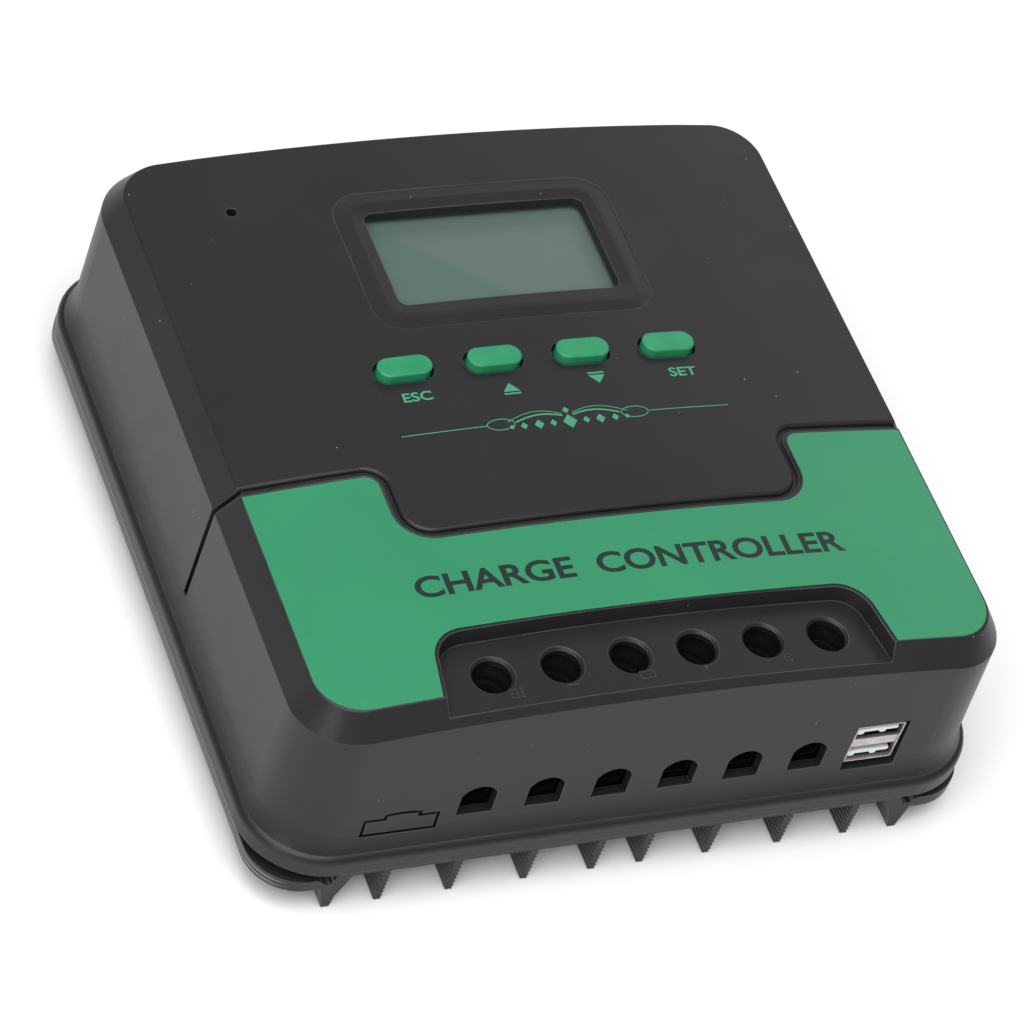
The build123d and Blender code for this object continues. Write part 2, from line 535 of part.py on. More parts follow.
with BuildPart() as heat_sink:
    with BuildSketch(Plane.XZ):
        with BuildLine():
            Polyline(
                (0, SINK_TOP),
                (PLATE_HALF, SINK_TOP),
                (NOTCH_X, NOTCH_Z),
                (NOTCH_FAR, EAR_TOP),
                (EAR_HALF_X, EAR_TOP),
                (EAR_HALF_X, EAR_BOTTOM),
                (OUTER_FIN_EAR, EAR_BOTTOM),
                (OUTER_FIN_OUTSIDE, 0),
                (OUTER_FIN_INSIDE, 0),
                (OUTER_FIN_WAIST_X, OUTER_FIN_WAIST_Z),
                (OUTER_FIN_ROOT, PLATE_BOTTOM),
                (0, PLATE_BOTTOM),
                close=True,
            )
        make_face()
        for fin_x in FIN_X:
            with BuildLine():
                Polyline(*fin_side(fin_x, 1), *reversed(fin_side(fin_x, -1)), close=True)
            make_face()
        mirror(about=Plane.YZ)
    extrude(amount=SINK_HALF_Y, both=True)
    with BuildSketch():
        RectangleRounded(2 * EAR_HALF_X, 2 * SINK_HALF_Y, EAR_CORNER)
    extrude(amount=SINK_TOP + 5, mode=Mode.INTERSECT)
    with BuildSketch():
        with Locations(*COVER_BOSSES):
            Circle(COVER_SCREW_HOLE / 2)
        with Locations(*STANDOFFS):
            Circle(BOARD_SCREW_DIA / 2 + THREAD_CLEARANCE)
        with Locations(*[(screw_x, CLAMP_Y) for screw_x in CLAMP_SCREWS_X]):
            Circle(BOARD_SCREW_DIA / 2 + THREAD_CLEARANCE)
        # Keyholes in the ears: the screw's head enters the wide end and slides to the narrow one
        for side in (-1, 1):
            for entry_y in KEYHOLE_ENTRY_Y:
                with Locations((side * KEYHOLE_X, entry_y)):
                    Circle(KEYHOLE_ENTRY / 2)
                with Locations((side * KEYHOLE_X, entry_y + KEYHOLE_TRAVEL)):
                    Circle(KEYHOLE_SLOT / 2)
                with Locations((side * KEYHOLE_X, entry_y + KEYHOLE_TRAVEL / 2)):
                    Rectangle(KEYHOLE_SLOT, KEYHOLE_TRAVEL)
    extrude(amount=SINK_TOP + 5, mode=Mode.SUBTRACT)
write(heat_sink, "heat_sink")

# ---- Label and display -------------------------------------------------------------------------

with BuildPart() as front_label:
    with BuildSketch(Plane.XY.offset(50)):
        RectangleRounded(
            2 * (TOP_HALF_X - LABEL_EDGE),
            2 * (TOP_HALF_Y - LABEL_EDGE),
            TOP_CORNER - LABEL_GAP,
        )
        add(step_outline(LABEL_STEP), mode=Mode.SUBTRACT)
        add(panel_outline(LABEL_GAP + 0.2), mode=Mode.SUBTRACT)
    extrude(amount=30)
    add(under_crown(LABEL_DEPTH - 0.01 - LABEL_THICK), mode=Mode.INTERSECT)
    add(under_crown(LABEL_DEPTH - 0.01), mode=Mode.SUBTRACT)
write(front_label, "front_label")


def screen_slab(name, wide, high, bottom, top):
    """A flat sheet of the display, in line with the window."""
    with BuildPart() as slab:
        with BuildSketch(Plane.XY.offset(bottom)):
            with Locations((BEZEL_X, BEZEL_Y)):
                Rectangle(wide, high)
        extrude(amount=top - bottom)
        chamfer(slab.edges().filter_by(Axis.Z), length=0.6)
    write(slab, name)


screen_slab("display_window", WINDOW_WIDE, WINDOW_HIGH, WINDOW_TOP - WINDOW_THICK, WINDOW_TOP)
screen_slab("lcd_panel", LCD_WIDE, LCD_HIGH, LCD_BOTTOM, LCD_TOP)
screen_slab("lcd_backlight", LCD_WIDE, LCD_HIGH, LIGHT_BOTTOM, LIGHT_TOP)

with BuildPart() as lcd_frame:
    with BuildSketch(Plane.XY.offset(DISPLAY_Z1)):
        with Locations((BEZEL_X, BEZEL_Y)):
            RectangleRounded(LCD_FRAME_WIDE, LCD_FRAME_HIGH, 1.5)
            Rectangle(LCD_WIDE + 2 * LCD_FRAME_FIT, LCD_HIGH + 2 * LCD_FRAME_FIT, mode=Mode.SUBTRACT)
    extrude(amount=LCD_FRAME_TOP - DISPLAY_Z1)
write(lcd_frame, "lcd_frame")

with BuildPart() as display_board:
    with BuildSketch(Plane.XY.offset(DISPLAY_Z0)):
        with Locations(((DISPLAY_X0 + DISPLAY_X1) / 2, (DISPLAY_Y0 + DISPLAY_Y1) / 2)):
            RectangleRounded(DISPLAY_X1 - DISPLAY_X0, DISPLAY_Y1 - DISPLAY_Y0, 2.0)
        with Locations((DISPLAY_X0, DISPLAY_Y1)):
            Rectangle(2 * DISPLAY_NOTCH_X, 2 * DISPLAY_NOTCH_Y, mode=Mode.SUBTRACT)
        with Locations(*DISPLAY_BOSSES):
            Circle(DISPLAY_SCREW_DIA / 2 + 0.3, mode=Mode.SUBTRACT)
    extrude(amount=DISPLAY_Z1 - DISPLAY_Z0)
write(display_board, "display_board")

with BuildPart() as status_led:
    with BuildSketch(Plane.XY.offset(DISPLAY_Z1)):
        with Locations((LED_X, LED_Y)):
            Circle(LED_FLANGE / 2)
    extrude(amount=1.0)
    with BuildSketch(Plane.XY.offset(DISPLAY_Z1)):
        with Locations((LED_X, LED_Y)):
            Circle(LED_DIA / 2)
    extrude(amount=LED_TOP - DISPLAY_Z1)
    fillet(status_led.edges().sort_by(Axis.Z)[-1], radius=LED_DIA / 2 - 0.1)
write(status_led, "status_led")


def ribbon_header(floor, up):
    """Ribbon cable socket on a board whose face is at floor, standing up (1) or hanging (-1)."""
    with BuildPart() as header:
        with BuildSketch(Plane.XY.offset(floor)):
            with Locations((HEADER_X, HEADER_Y)):
                Rectangle(HEADER_WIDE, HEADER_DEEP)
        extrude(amount=up * HEADER_HIGH)
        with BuildSketch(Plane.XY.offset(floor + up * HEADER_HIGH)):
            with Locations((HEADER_X, HEADER_Y)):
                Rectangle(RIBBON_WIDE + 0.2, RIBBON_THICK + 0.2)
        extrude(amount=-up * RIBBON_INTO, mode=Mode.SUBTRACT)
    return header.part


with BuildPart() as ribbon_headers:
    add(ribbon_header(BOARD_Z1, 1))
    add(ribbon_header(DISPLAY_Z0, -1))
write(ribbon_headers, "ribbon_headers")

# Flat cable between the two boards, longer than the gap, so it bows to the rear
ribbon_low = BOARD_Z1 + HEADER_HIGH - RIBBON_INTO + 0.1
ribbon_high = DISPLAY_Z0 - HEADER_HIGH + RIBBON_INTO - 0.1
ribbon_middle = (ribbon_low + ribbon_high) / 2
with BuildPart() as display_ribbon:
    with BuildSketch(Plane.YZ.offset(HEADER_X - RIBBON_WIDE / 2)):
        with BuildLine() as ribbon_line:
            FilletPolyline(
                (HEADER_Y, ribbon_low),
                (HEADER_Y, ribbon_low + 4.5),
                (HEADER_Y + RIBBON_BULGE, ribbon_middle),
                (HEADER_Y, ribbon_high - 4.5),
                (HEADER_Y, ribbon_high),
                radius=2.5,
            )
        trace(line_width=RIBBON_THICK)
    extrude(amount=RIBBON_WIDE)
write(display_ribbon, "display_ribbon")

# ---- Buttons -----------------------------------------------------------------------------------

with BuildPart() as switch_housings:
    with BuildSketch(Plane.XY.offset(DISPLAY_Z1)):
        with Locations(*button_places()):
            RectangleRounded(SWITCH_SIDE, SWITCH_SIDE, 0.4)
    extrude(amount=SWITCH_TOP - DISPLAY_Z1)
    with BuildSketch(Plane.XY.offset(SWITCH_WELL)):
        with Locations(*button_places()):
            Circle(SWITCH_BORE / 2)
    extrude(amount=SWITCH_TOP - SWITCH_WELL, mode=Mode.SUBTRACT)
write(switch_housings, "switch_housings")

for button_name, (button_x, button_y) in zip(BUTTON_NAMES, button_places()):
    flange_top = crown_z(abs(button_x) + FLANGE_WIDE / 2, WALL) - FLANGE_GAP
    with BuildPart() as button_cap:
        with BuildSketch(Plane.XY.offset(flange_top - FLANGE_THICK)):
            with Locations((button_x, button_y)):
                SlotOverall(CAP_WIDE, CAP_HIGH)
        extrude(amount=10)
        add(under_crown(-CAP_PROUD), mode=Mode.INTERSECT)
        cap_rim = button_cap.faces().filter_by(GeomType.CYLINDER).sort_by(Axis.Z)[-1]
        fillet(cap_rim.outer_wire().edges(), radius=CAP_SOFTEN)
        with BuildSketch(Plane.XY.offset(flange_top - FLANGE_THICK)):
            with Locations((button_x, button_y)):
                SlotOverall(FLANGE_WIDE, FLANGE_HIGH)
        extrude(amount=FLANGE_THICK)
        with BuildSketch(Plane.XY.offset(STEM_TOP)):
            with Locations((button_x, button_y)):
                Circle(PLUNGER_DIA / 2)
        extrude(until=Until.NEXT)
    write(button_cap, f"button_cap_{button_name}")
    with BuildPart() as switch_stem:
        with BuildSketch(Plane.XY.offset(STEM_BOTTOM)):
            with Locations((button_x, button_y)):
                Circle(STEM_DIA / 2)
        extrude(amount=STEM_TOP - STEM_BOTTOM)
        chamfer(switch_stem.edges().sort_by(Axis.Z)[-1], length=0.2)
    write(switch_stem, f"switch_stem_{button_name}")

# ---- Screws ------------------------------------------------------------------------------------


def pan_screws(name, places, diameter, seat, tip, up=-1, head_high=PAN_HEAD_HIGH):
    """Cross-head screws at places: the head stands on seat, on the side away from up, the tip is at tip."""
    head = diameter * PAN_HEAD_RATIO / 2
    with BuildPart() as screws:
        with BuildSketch(Plane.XY.offset(seat)):
            with Locations(*places):
                Circle(diameter / 2)
        extrude(amount=tip - seat)
        with BuildSketch(Plane.XY.offset(seat)):
            with Locations(*places):
                Circle(head)
        extrude(amount=-up * head_high)
        outer = seat - up * head_high
        circles = screws.edges().filter_by(GeomType.CIRCLE)
        rims = [edge for edge in circles if abs(edge.center().Z - outer) < 0.01]
        fillet(rims, radius=head_high * 0.35)
        with BuildSketch(Plane.XY.offset(outer)):
            with Locations(*places):
                Rectangle(head, head / 4)
                Rectangle(head / 4, head)
        extrude(amount=up * head_high * 0.6, mode=Mode.SUBTRACT)
    write(screws, name)


pan_screws("cover_screws", COVER_BOSSES, COVER_SCREW_DIA, PLATE_BOTTOM, LIP_BOTTOM + COVER_SCREW_GRIP, up=1)
pan_screws(
    "display_screws",
    DISPLAY_BOSSES,
    DISPLAY_SCREW_DIA,
    DISPLAY_Z0,
    DISPLAY_Z1 + DISPLAY_SCREW_GRIP,
    up=1,
)
pan_screws("board_screws", STANDOFFS, BOARD_SCREW_DIA, BOARD_Z1, BOARD_Z0 - STANDOFF_WELL + 0.5)
clamp_places = [(screw_x, CLAMP_Y) for screw_x in CLAMP_SCREWS_X]
clamp_seat = SINK_TOP + PAD_THICK + MOSFET_HIGH + CLAMP_THICK
pan_screws(
    "clamp_screws",
    clamp_places,
    BOARD_SCREW_DIA,
    clamp_seat,
    CLAMP_SCREW_TIP,
    head_high=CLAMP_HEAD_HIGH,
)

# ---- Main board --------------------------------------------------------------------------------


def mosfet_places():
    """X of each power transistor, left to right."""
    return [(i - (MOSFETS - 1) / 2) * MOSFET_PITCH for i in range(MOSFETS)]


def lead_places():
    """X of every transistor lead."""
    return [x + (lead - 1) * LEAD_PITCH for x in mosfet_places() for lead in range(LEADS)]


with BuildPart() as main_board:
    with BuildSketch(Plane.XY.offset(BOARD_Z0)):
        with Locations((0, (BOARD_FRONT + BOARD_REAR) / 2)):
            RectangleRounded(2 * BOARD_HALF_X, BOARD_REAR - BOARD_FRONT, 6.0)
        with Locations(*COVER_BOSSES):
            Circle(BOSS_OD / 2 + BOSS_ROOM, mode=Mode.SUBTRACT)
        with Locations(*STANDOFFS):
            Circle(BOARD_HOLE / 2, mode=Mode.SUBTRACT)
        with Locations(*[(lead_x, LEAD_Y) for lead_x in lead_places()]):
            Circle(LEAD_HOLE / 2, mode=Mode.SUBTRACT)
        with Locations(*[(pole_x, BAR_LEG_Y) for pole_x, pole_y in pole_places()]):
            Rectangle(BAR_WIDTH + 0.6, BAR_Z1 - BAR_Z0 + 0.6, mode=Mode.SUBTRACT)
    extrude(amount=BOARD_Z1 - BOARD_Z0)
write(main_board, "main_board")

with BuildPart() as board_standoffs:
    with BuildSketch(Plane.XY.offset(SINK_TOP)):
        with Locations(*STANDOFFS):
            RegularPolygon(STANDOFF_ACROSS / 2, 6, major_radius=False)
    extrude(amount=BOARD_Z0 - SINK_TOP)
    with BuildSketch(Plane.XY.offset(CLAMP_SCREW_TIP)):
        with Locations(*STANDOFFS):
            Circle(BOARD_SCREW_DIA / 2)
    extrude(amount=SINK_TOP - CLAMP_SCREW_TIP)
    with BuildSketch(Plane.XY.offset(BOARD_Z0)):
        with Locations(*STANDOFFS):
            Circle(BOARD_SCREW_DIA / 2 + THREAD_CLEARANCE)
    extrude(amount=-STANDOFF_WELL, mode=Mode.SUBTRACT)
write(board_standoffs, "board_standoffs")

# ---- Power stage -------------------------------------------------------------------------------

pad_top = SINK_TOP + PAD_THICK
with BuildPart() as thermal_pads:
    with BuildSketch(Plane.XY.offset(SINK_TOP)):
        with Locations(*[(x, (MOSFET_FRONT + MOSFET_REAR) / 2) for x in mosfet_places()]):
            Rectangle(PAD_WIDE, PAD_LONG)
    extrude(amount=PAD_THICK)
write(thermal_pads, "thermal_pads")

with BuildPart() as mosfets:
    with BuildSketch(Plane.XY.offset(pad_top)):
        with Locations(*[(x, (MOSFET_FRONT + MOSFET_REAR) / 2) for x in mosfet_places()]):
            Rectangle(MOSFET_WIDE, MOSFET_REAR - MOSFET_FRONT)
    extrude(amount=MOSFET_TAB)
    with BuildSketch(Plane.XY.offset(pad_top)):
        with Locations(*[(x, MOSFET_FRONT + MOSFET_MOULD_LONG / 2) for x in mosfet_places()]):
            Rectangle(MOSFET_WIDE, MOSFET_MOULD_LONG)
    extrude(amount=MOSFET_HIGH)
    with BuildSketch(Plane.XY.offset(LEAD_Z)):
        with Locations(*[(x, (LEAD_Y + MOSFET_FRONT) / 2) for x in lead_places()]):
            Rectangle(LEAD_WIDE, MOSFET_FRONT - LEAD_Y + LEAD_THICK)
    extrude(amount=LEAD_THICK)
    with BuildSketch(Plane.XY.offset(LEAD_Z)):
        with Locations(*[(x, LEAD_Y) for x in lead_places()]):
            Rectangle(LEAD_WIDE, LEAD_THICK)
    extrude(amount=LEAD_TOP - LEAD_Z)
write(mosfets, "mosfets")

with BuildPart() as clamp_bar:
    with BuildSketch(Plane.XY.offset(pad_top + MOSFET_HIGH)):
        with Locations((0, CLAMP_Y)):
            RectangleRounded(2 * CLAMP_HALF, CLAMP_DEEP, 1.5)
        with Locations(*clamp_places):
            Circle(BOARD_HOLE / 2, mode=Mode.SUBTRACT)
    extrude(amount=CLAMP_THICK)
write(clamp_bar, "clamp_bar")

# ---- Terminals ---------------------------------------------------------------------------------

with BuildPart() as terminal_housing:
    with BuildSketch(Plane.XY.offset(BOARD_Z1)):
        with Locations((POLE_X, (BLOCK_FRONT + BLOCK_REAR) / 2)):
            Rectangle(POLES * POLE_PITCH, BLOCK_REAR - BLOCK_FRONT)
    extrude(amount=BLOCK_TOP - BOARD_Z1)
    chamfer(terminal_housing.faces().sort_by(Axis.Z)[-1].edges(), length=0.6)
    with BuildSketch(Plane.XY.offset(BOARD_Z1)):
        with Locations(*pole_places()):
            Rectangle(CHAMBER_X, CHAMBER_Y)
    extrude(amount=CHAMBER_TOP - BOARD_Z1, mode=Mode.SUBTRACT)
    with BuildSketch(Plane.XY.offset(CHAMBER_TOP)):
        with Locations(*pole_places()):
            Circle(NECK_BORE / 2)
    extrude(amount=HEAD_SEAT - CHAMBER_TOP, mode=Mode.SUBTRACT)
    with BuildSketch(Plane.XY.offset(HEAD_SEAT)):
        with Locations(*pole_places()):
            Circle(HEAD_BORE / 2)
    extrude(amount=BLOCK_TOP - HEAD_SEAT, mode=Mode.SUBTRACT)
    with BuildSketch(Plane.XZ.offset(-BLOCK_FRONT)):
        with Locations(*[(pole_x, (MOUTH_BOTTOM + MOUTH_TOP) / 2) for pole_x, pole_y in pole_places()]):
            Rectangle(MOUTH_WIDTH, MOUTH_TOP - MOUTH_BOTTOM)
    extrude(amount=-(POLE_Y - BLOCK_FRONT), mode=Mode.SUBTRACT)
    with BuildSketch(Plane.XZ.offset(-BLOCK_REAR)):
        with Locations(*[(pole_x, (BAR_Z0 + BAR_Z1) / 2) for pole_x, pole_y in pole_places()]):
            Rectangle(BAR_WIDTH + 2 * BAR_SLOT_GAP, BAR_Z1 - BAR_Z0 + 2 * BAR_SLOT_GAP)
    extrude(amount=BLOCK_REAR - POLE_Y, mode=Mode.SUBTRACT)
write(terminal_housing, "terminal_housing")

with BuildPart() as terminal_busbars:
    with BuildSketch(Plane.XY.offset(BAR_Z0)):
        bar_rear = BAR_LEG_Y + (BAR_Z1 - BAR_Z0) / 2
        with Locations(*[(pole_x, (BAR_FRONT + bar_rear) / 2) for pole_x, pole_y in pole_places()]):
            Rectangle(BAR_WIDTH, bar_rear - BAR_FRONT)
    extrude(amount=BAR_Z1 - BAR_Z0)
    with BuildSketch(Plane.XY.offset(BAR_TAIL)):
        with Locations(*[(pole_x, BAR_LEG_Y) for pole_x, pole_y in pole_places()]):
            Rectangle(BAR_WIDTH, BAR_Z1 - BAR_Z0)
    extrude(amount=BAR_Z0 - BAR_TAIL)
write(terminal_busbars, "terminal_busbars")

for number, place in enumerate(pole_places(), start=1):
    head_bottom = HEAD_SEAT + HEAD_GAP
    with BuildPart() as terminal_screw:
        with BuildSketch(Plane.XY.offset(SCREW_TIP)):
            with Locations(place):
                Circle(SCREW_DIA / 2)
        extrude(amount=head_bottom - SCREW_TIP)
        with BuildSketch(Plane.XY.offset(head_bottom)):
            with Locations(place):
                Circle(SCREW_HEAD_DIA / 2)
        extrude(amount=SCREW_HEAD_HIGH)
        fillet(terminal_screw.edges().sort_by(Axis.Z)[-1], radius=0.5)
        with BuildSketch(Plane.XY.offset(head_bottom + SCREW_HEAD_HIGH)):
            with Locations(place):
                Rectangle(RECESS_LONG, RECESS_WIDE)
                Rectangle(RECESS_WIDE, RECESS_LONG)
        extrude(amount=-SCREW_HEAD_HIGH * 0.6, mode=Mode.SUBTRACT)
    write(terminal_screw, f"terminal_screw_{number}")
    with BuildPart() as terminal_cage:
        with BuildSketch(Plane.XY.offset(CAGE_Z0)):
            with Locations(place):
                RectangleRounded(CAGE_X, CAGE_Y, 0.6)
        extrude(amount=CAGE_Z1 - CAGE_Z0)
        with BuildSketch(Plane.XY.offset(CAGE_FLOOR)):
            with Locations(place):
                Rectangle(CAGE_INSIDE, CAGE_Y + 2)
        extrude(amount=CAGE_ROOF - CAGE_FLOOR, mode=Mode.SUBTRACT)
        with BuildSketch(Plane.XY.offset(CAGE_ROOF)):
            with Locations(place):
                Circle(SCREW_DIA / 2 + THREAD_CLEARANCE)
        extrude(amount=CAGE_Z1 - CAGE_ROOF, mode=Mode.SUBTRACT)
    write(terminal_cage, f"terminal_cage_{number}")

# ---- Parts on the main board -------------------------------------------------------------------

core_bottom = BOARD_Z1 + WIRE + 2 * WIRE_GAP
with BuildPart() as inductor_core:
    with BuildSketch(Plane.XY.offset(core_bottom)):
        with Locations((CORE_X, CORE_Y)):
            Circle(CORE_OUTER / 2)
            Circle(CORE_INNER / 2, mode=Mode.SUBTRACT)
    extrude(amount=CORE_HIGH)
    fillet(inductor_core.edges().filter_by(GeomType.CIRCLE), radius=0.8)
write(inductor_core, "inductor_core")

core_thick = (CORE_OUTER - CORE_INNER) / 2
core_centre = (CORE_X, CORE_Y, core_bottom + CORE_HIGH / 2)
with BuildPart() as inductor_winding:
    for turn in range(TURNS):
        angle = 2 * pi * turn / TURNS
        out = (cos(angle), sin(angle), 0)
        along = (-sin(angle), cos(angle), 0)
        with BuildSketch(Plane(core_centre, x_dir=out, z_dir=along)):
            with Locations(((CORE_OUTER + CORE_INNER) / 4, 0)):
                RectangleRounded(
                    core_thick + 2 * (WIRE + WIRE_GAP),
                    CORE_HIGH + 2 * (WIRE + WIRE_GAP),
                    WIRE + WIRE_GAP,
                )
                Rectangle(core_thick + 2 * WIRE_GAP, CORE_HIGH + 2 * WIRE_GAP, mode=Mode.SUBTRACT)
        extrude(amount=WIRE / 2, both=True)
write(inductor_winding, "inductor_winding")


def capacitors(name, places_x, diameter, high):
    """Upright electrolytic capacitors in a row, each can with a crimped ring near its foot."""
    with BuildPart() as cans:
        with BuildSketch(Plane.XY.offset(BOARD_Z1 + CAP_LIFT)):
            with Locations(*[(x, CAPS_Y) for x in places_x]):
                Circle(diameter / 2)
        extrude(amount=high)
        fillet(cans.edges().filter_by(GeomType.CIRCLE), radius=0.6)
        with BuildSketch(Plane.XY.offset(BOARD_Z1 + CAP_LIFT + CRIMP_HIGH)):
            with Locations(*[(x, CAPS_Y) for x in places_x]):
                Circle(diameter / 2 + 1)
                Circle(diameter / 2 - CRIMP_DEPTH, mode=Mode.SUBTRACT)
        extrude(amount=CRIMP_DEPTH, mode=Mode.SUBTRACT)
    write(cans, name)


capacitors("filter_capacitors", FILTER_CAPS_X, 16.0, 25.0)
capacitors("output_capacitors", OUTPUT_CAPS_X, 10.0, 16.0)

fuse_places = [(FUSE_X, fuse_y) for fuse_y in FUSES_Y]
blade_places = [(x + side * BLADE_SPACING / 2, y) for x, y in fuse_places for side in (-1, 1)]
holder_top = BOARD_Z1 + HOLDER_HIGH
with BuildPart() as fuse_holders:
    with BuildSketch(Plane.XY.offset(BOARD_Z1)):
        with Locations(*fuse_places):
            RectangleRounded(HOLDER_WIDE, HOLDER_DEEP, 1.0)
    extrude(amount=HOLDER_HIGH)
    with BuildSketch(Plane.XY.offset(holder_top)):
        with Locations(*blade_places):
            Rectangle(BLADE_WIDE + 2 * BLADE_FIT, BLADE_THICK + 2 * BLADE_FIT)
    extrude(amount=-BLADE_LONG - 0.5, mode=Mode.SUBTRACT)
write(fuse_holders, "fuse_holders")

with BuildPart() as blade_fuses:
    with BuildSketch(Plane.XY.offset(holder_top)):
        with Locations(*fuse_places):
            RectangleRounded(FUSE_WIDE, FUSE_DEEP, 1.0)
    extrude(amount=FUSE_HIGH)
    with BuildSketch(Plane.XY.offset(holder_top)):
        with Locations(*blade_places):
            Rectangle(BLADE_WIDE, BLADE_THICK)
    extrude(amount=-BLADE_LONG)
write(blade_fuses, "blade_fuses")

with BuildPart() as current_shunt:
    with BuildSketch(Plane.XZ.offset(-SHUNT_Y)):
        with BuildLine() as shunt_line:
            FilletPolyline(
                (-SHUNT_HALF, BOARD_Z1),
                (-SHUNT_HALF, BOARD_Z1 + SHUNT_HIGH),
                (SHUNT_HALF, BOARD_Z1 + SHUNT_HIGH),
                (SHUNT_HALF, BOARD_Z1),
                radius=3.0,
            )
        trace(line_width=SHUNT_THICK)
    extrude(amount=SHUNT_WIDE / 2, both=True)
write(current_shunt, "current_shunt")

with BuildPart() as control_ics:
    for chip_x, chip_y, chip_wide, chip_long in CONTROL_ICS:
        pins = int((chip_wide - 2) / PIN_PITCH)
        with BuildSketch(Plane.XY.offset(BOARD_Z1 + IC_STAND)):
            with Locations((chip_x, chip_y)):
                Rectangle(chip_wide, chip_long)
        extrude(amount=IC_HIGH)
        with BuildSketch(Plane.XY.offset(BOARD_Z1)):
            with Locations((chip_x, chip_y)):
                with GridLocations(PIN_PITCH, chip_long + PIN_OUT, pins, 2):
                    Rectangle(PIN_WIDE, PIN_OUT + 0.4)
        extrude(amount=IC_HIGH / 2)
write(control_ics, "control_ics")

with BuildPart() as buzzer:
    with BuildSketch(Plane.XY.offset(BOARD_Z1)):
        with Locations((BUZZER_X, BUZZER_Y)):
            Circle(BUZZER_DIA / 2)
    extrude(amount=BUZZER_HIGH)
    fillet(buzzer.edges().sort_by(Axis.Z)[-1], radius=0.6)
    with BuildSketch(Plane.XY.offset(BOARD_Z1 + BUZZER_HIGH)):
        with Locations((BUZZER_X, BUZZER_Y)):
            Circle(BUZZER_HOLE / 2)
    extrude(amount=-3.0, mode=Mode.SUBTRACT)
write(buzzer, "buzzer")

# ---- USB sockets -------------------------------------------------------------------------------

usb_inside_x = USB_WIDE - 2 * USB_SHEET
usb_inside_z = USB_HIGH - 2 * USB_SHEET
usb_rear = USB_FRONT + USB_LONG - 0.2
insulator_front = usb_rear - USB_REAR_WALL
divider_front = USB_FRONT + USB_DIVIDER_SET_BACK
tongue_front = USB_FRONT + TONGUE_SET_BACK

with BuildPart() as usb_shell:
    with BuildSketch(Plane.XZ.offset(-USB_FRONT)):
        with Locations((USB_X, USB_Z)):
            RectangleRounded(USB_WIDE, USB_HIGH, 0.5)
            Rectangle(usb_inside_x, usb_inside_z, mode=Mode.SUBTRACT)
    extrude(amount=-USB_LONG)
    # Folded sheet between the two sockets
    with BuildSketch(Plane.XZ.offset(-divider_front)):
        with Locations((USB_X, USB_Z)):
            Rectangle(usb_inside_x + USB_SHEET, USB_DIVIDER)
    extrude(amount=-(insulator_front - divider_front))
    with BuildSketch(Plane.XZ.offset(-insulator_front)):
        with Locations((USB_X, USB_Z)):
            Rectangle(usb_inside_x, USB_DIVIDER - 2 * USB_SHEET)
    extrude(amount=insulator_front - divider_front - USB_SHEET, mode=Mode.SUBTRACT)
write(usb_shell, "usb_shell")

with BuildPart() as usb_insulator:
    with BuildSketch(Plane.XZ.offset(-usb_rear)):
        with Locations((USB_X, USB_Z)):
            Rectangle(usb_inside_x - 0.1, usb_inside_z - 0.1)
    extrude(amount=USB_REAR_WALL)
write(usb_insulator, "usb_insulator")

with BuildPart() as usb_tongues:
    for port in (-1, 1):
        tongue_z = USB_Z + port * TONGUE_PITCH / 2
        with BuildSketch(Plane.XZ.offset(-insulator_front)):
            with Locations((USB_X, tongue_z)):
                RectangleRounded(TONGUE_WIDE, TONGUE_THICK, 0.4)
        extrude(amount=insulator_front - tongue_front)
        with BuildSketch(Plane.XZ.offset(-tongue_front)):
            for lug_x in LUGS_X:
                with Locations((USB_X - TONGUE_WIDE / 2 + lug_x, tongue_z - TONGUE_THICK / 2)):
                    RectangleRounded(LUG_WIDE, 2 * LUG_HIGH, 0.4)
        extrude(amount=-LUG_DEEP)
write(usb_tongues, "usb_tongues")

with BuildPart() as usb_contacts:
    for port in (-1, 1):
        tongue_under = USB_Z + port * TONGUE_PITCH / 2 - TONGUE_THICK / 2
        with BuildSketch(Plane.XY.offset(tongue_under - CONTACT_THICK)):
            with Locations((USB_X, tongue_front + LUG_DEEP + 0.1 + CONTACT_LONG / 2)):
                with GridLocations(CONTACT_PITCH, 1, CONTACTS, 1):
                    Rectangle(CONTACT_WIDE, CONTACT_LONG)
        extrude(amount=CONTACT_THICK)
write(usb_contacts, "usb_contacts")
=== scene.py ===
import json
import math

import bmesh
import bpy
from mathutils import Matrix, Vector


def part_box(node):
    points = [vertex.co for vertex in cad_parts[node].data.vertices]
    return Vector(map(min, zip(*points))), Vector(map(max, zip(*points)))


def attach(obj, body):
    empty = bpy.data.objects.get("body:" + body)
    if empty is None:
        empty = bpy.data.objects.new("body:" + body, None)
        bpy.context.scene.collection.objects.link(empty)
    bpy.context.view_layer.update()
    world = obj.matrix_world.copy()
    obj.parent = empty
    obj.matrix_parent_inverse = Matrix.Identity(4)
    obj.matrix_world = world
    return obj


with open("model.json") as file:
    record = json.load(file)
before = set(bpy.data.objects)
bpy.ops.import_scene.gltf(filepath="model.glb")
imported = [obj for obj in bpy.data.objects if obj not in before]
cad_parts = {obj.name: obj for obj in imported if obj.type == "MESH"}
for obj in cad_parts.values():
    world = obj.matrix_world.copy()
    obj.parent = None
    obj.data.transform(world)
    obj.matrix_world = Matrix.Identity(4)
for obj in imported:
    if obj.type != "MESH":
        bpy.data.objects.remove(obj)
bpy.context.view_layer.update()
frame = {"nodes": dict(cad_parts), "record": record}

# A solar charge controller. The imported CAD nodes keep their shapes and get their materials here. The
# prints on the cover and the label and the raised symbols beside the terminals are added to them.
# Everything is in metres, in the CAD frame.

MM = 0.001

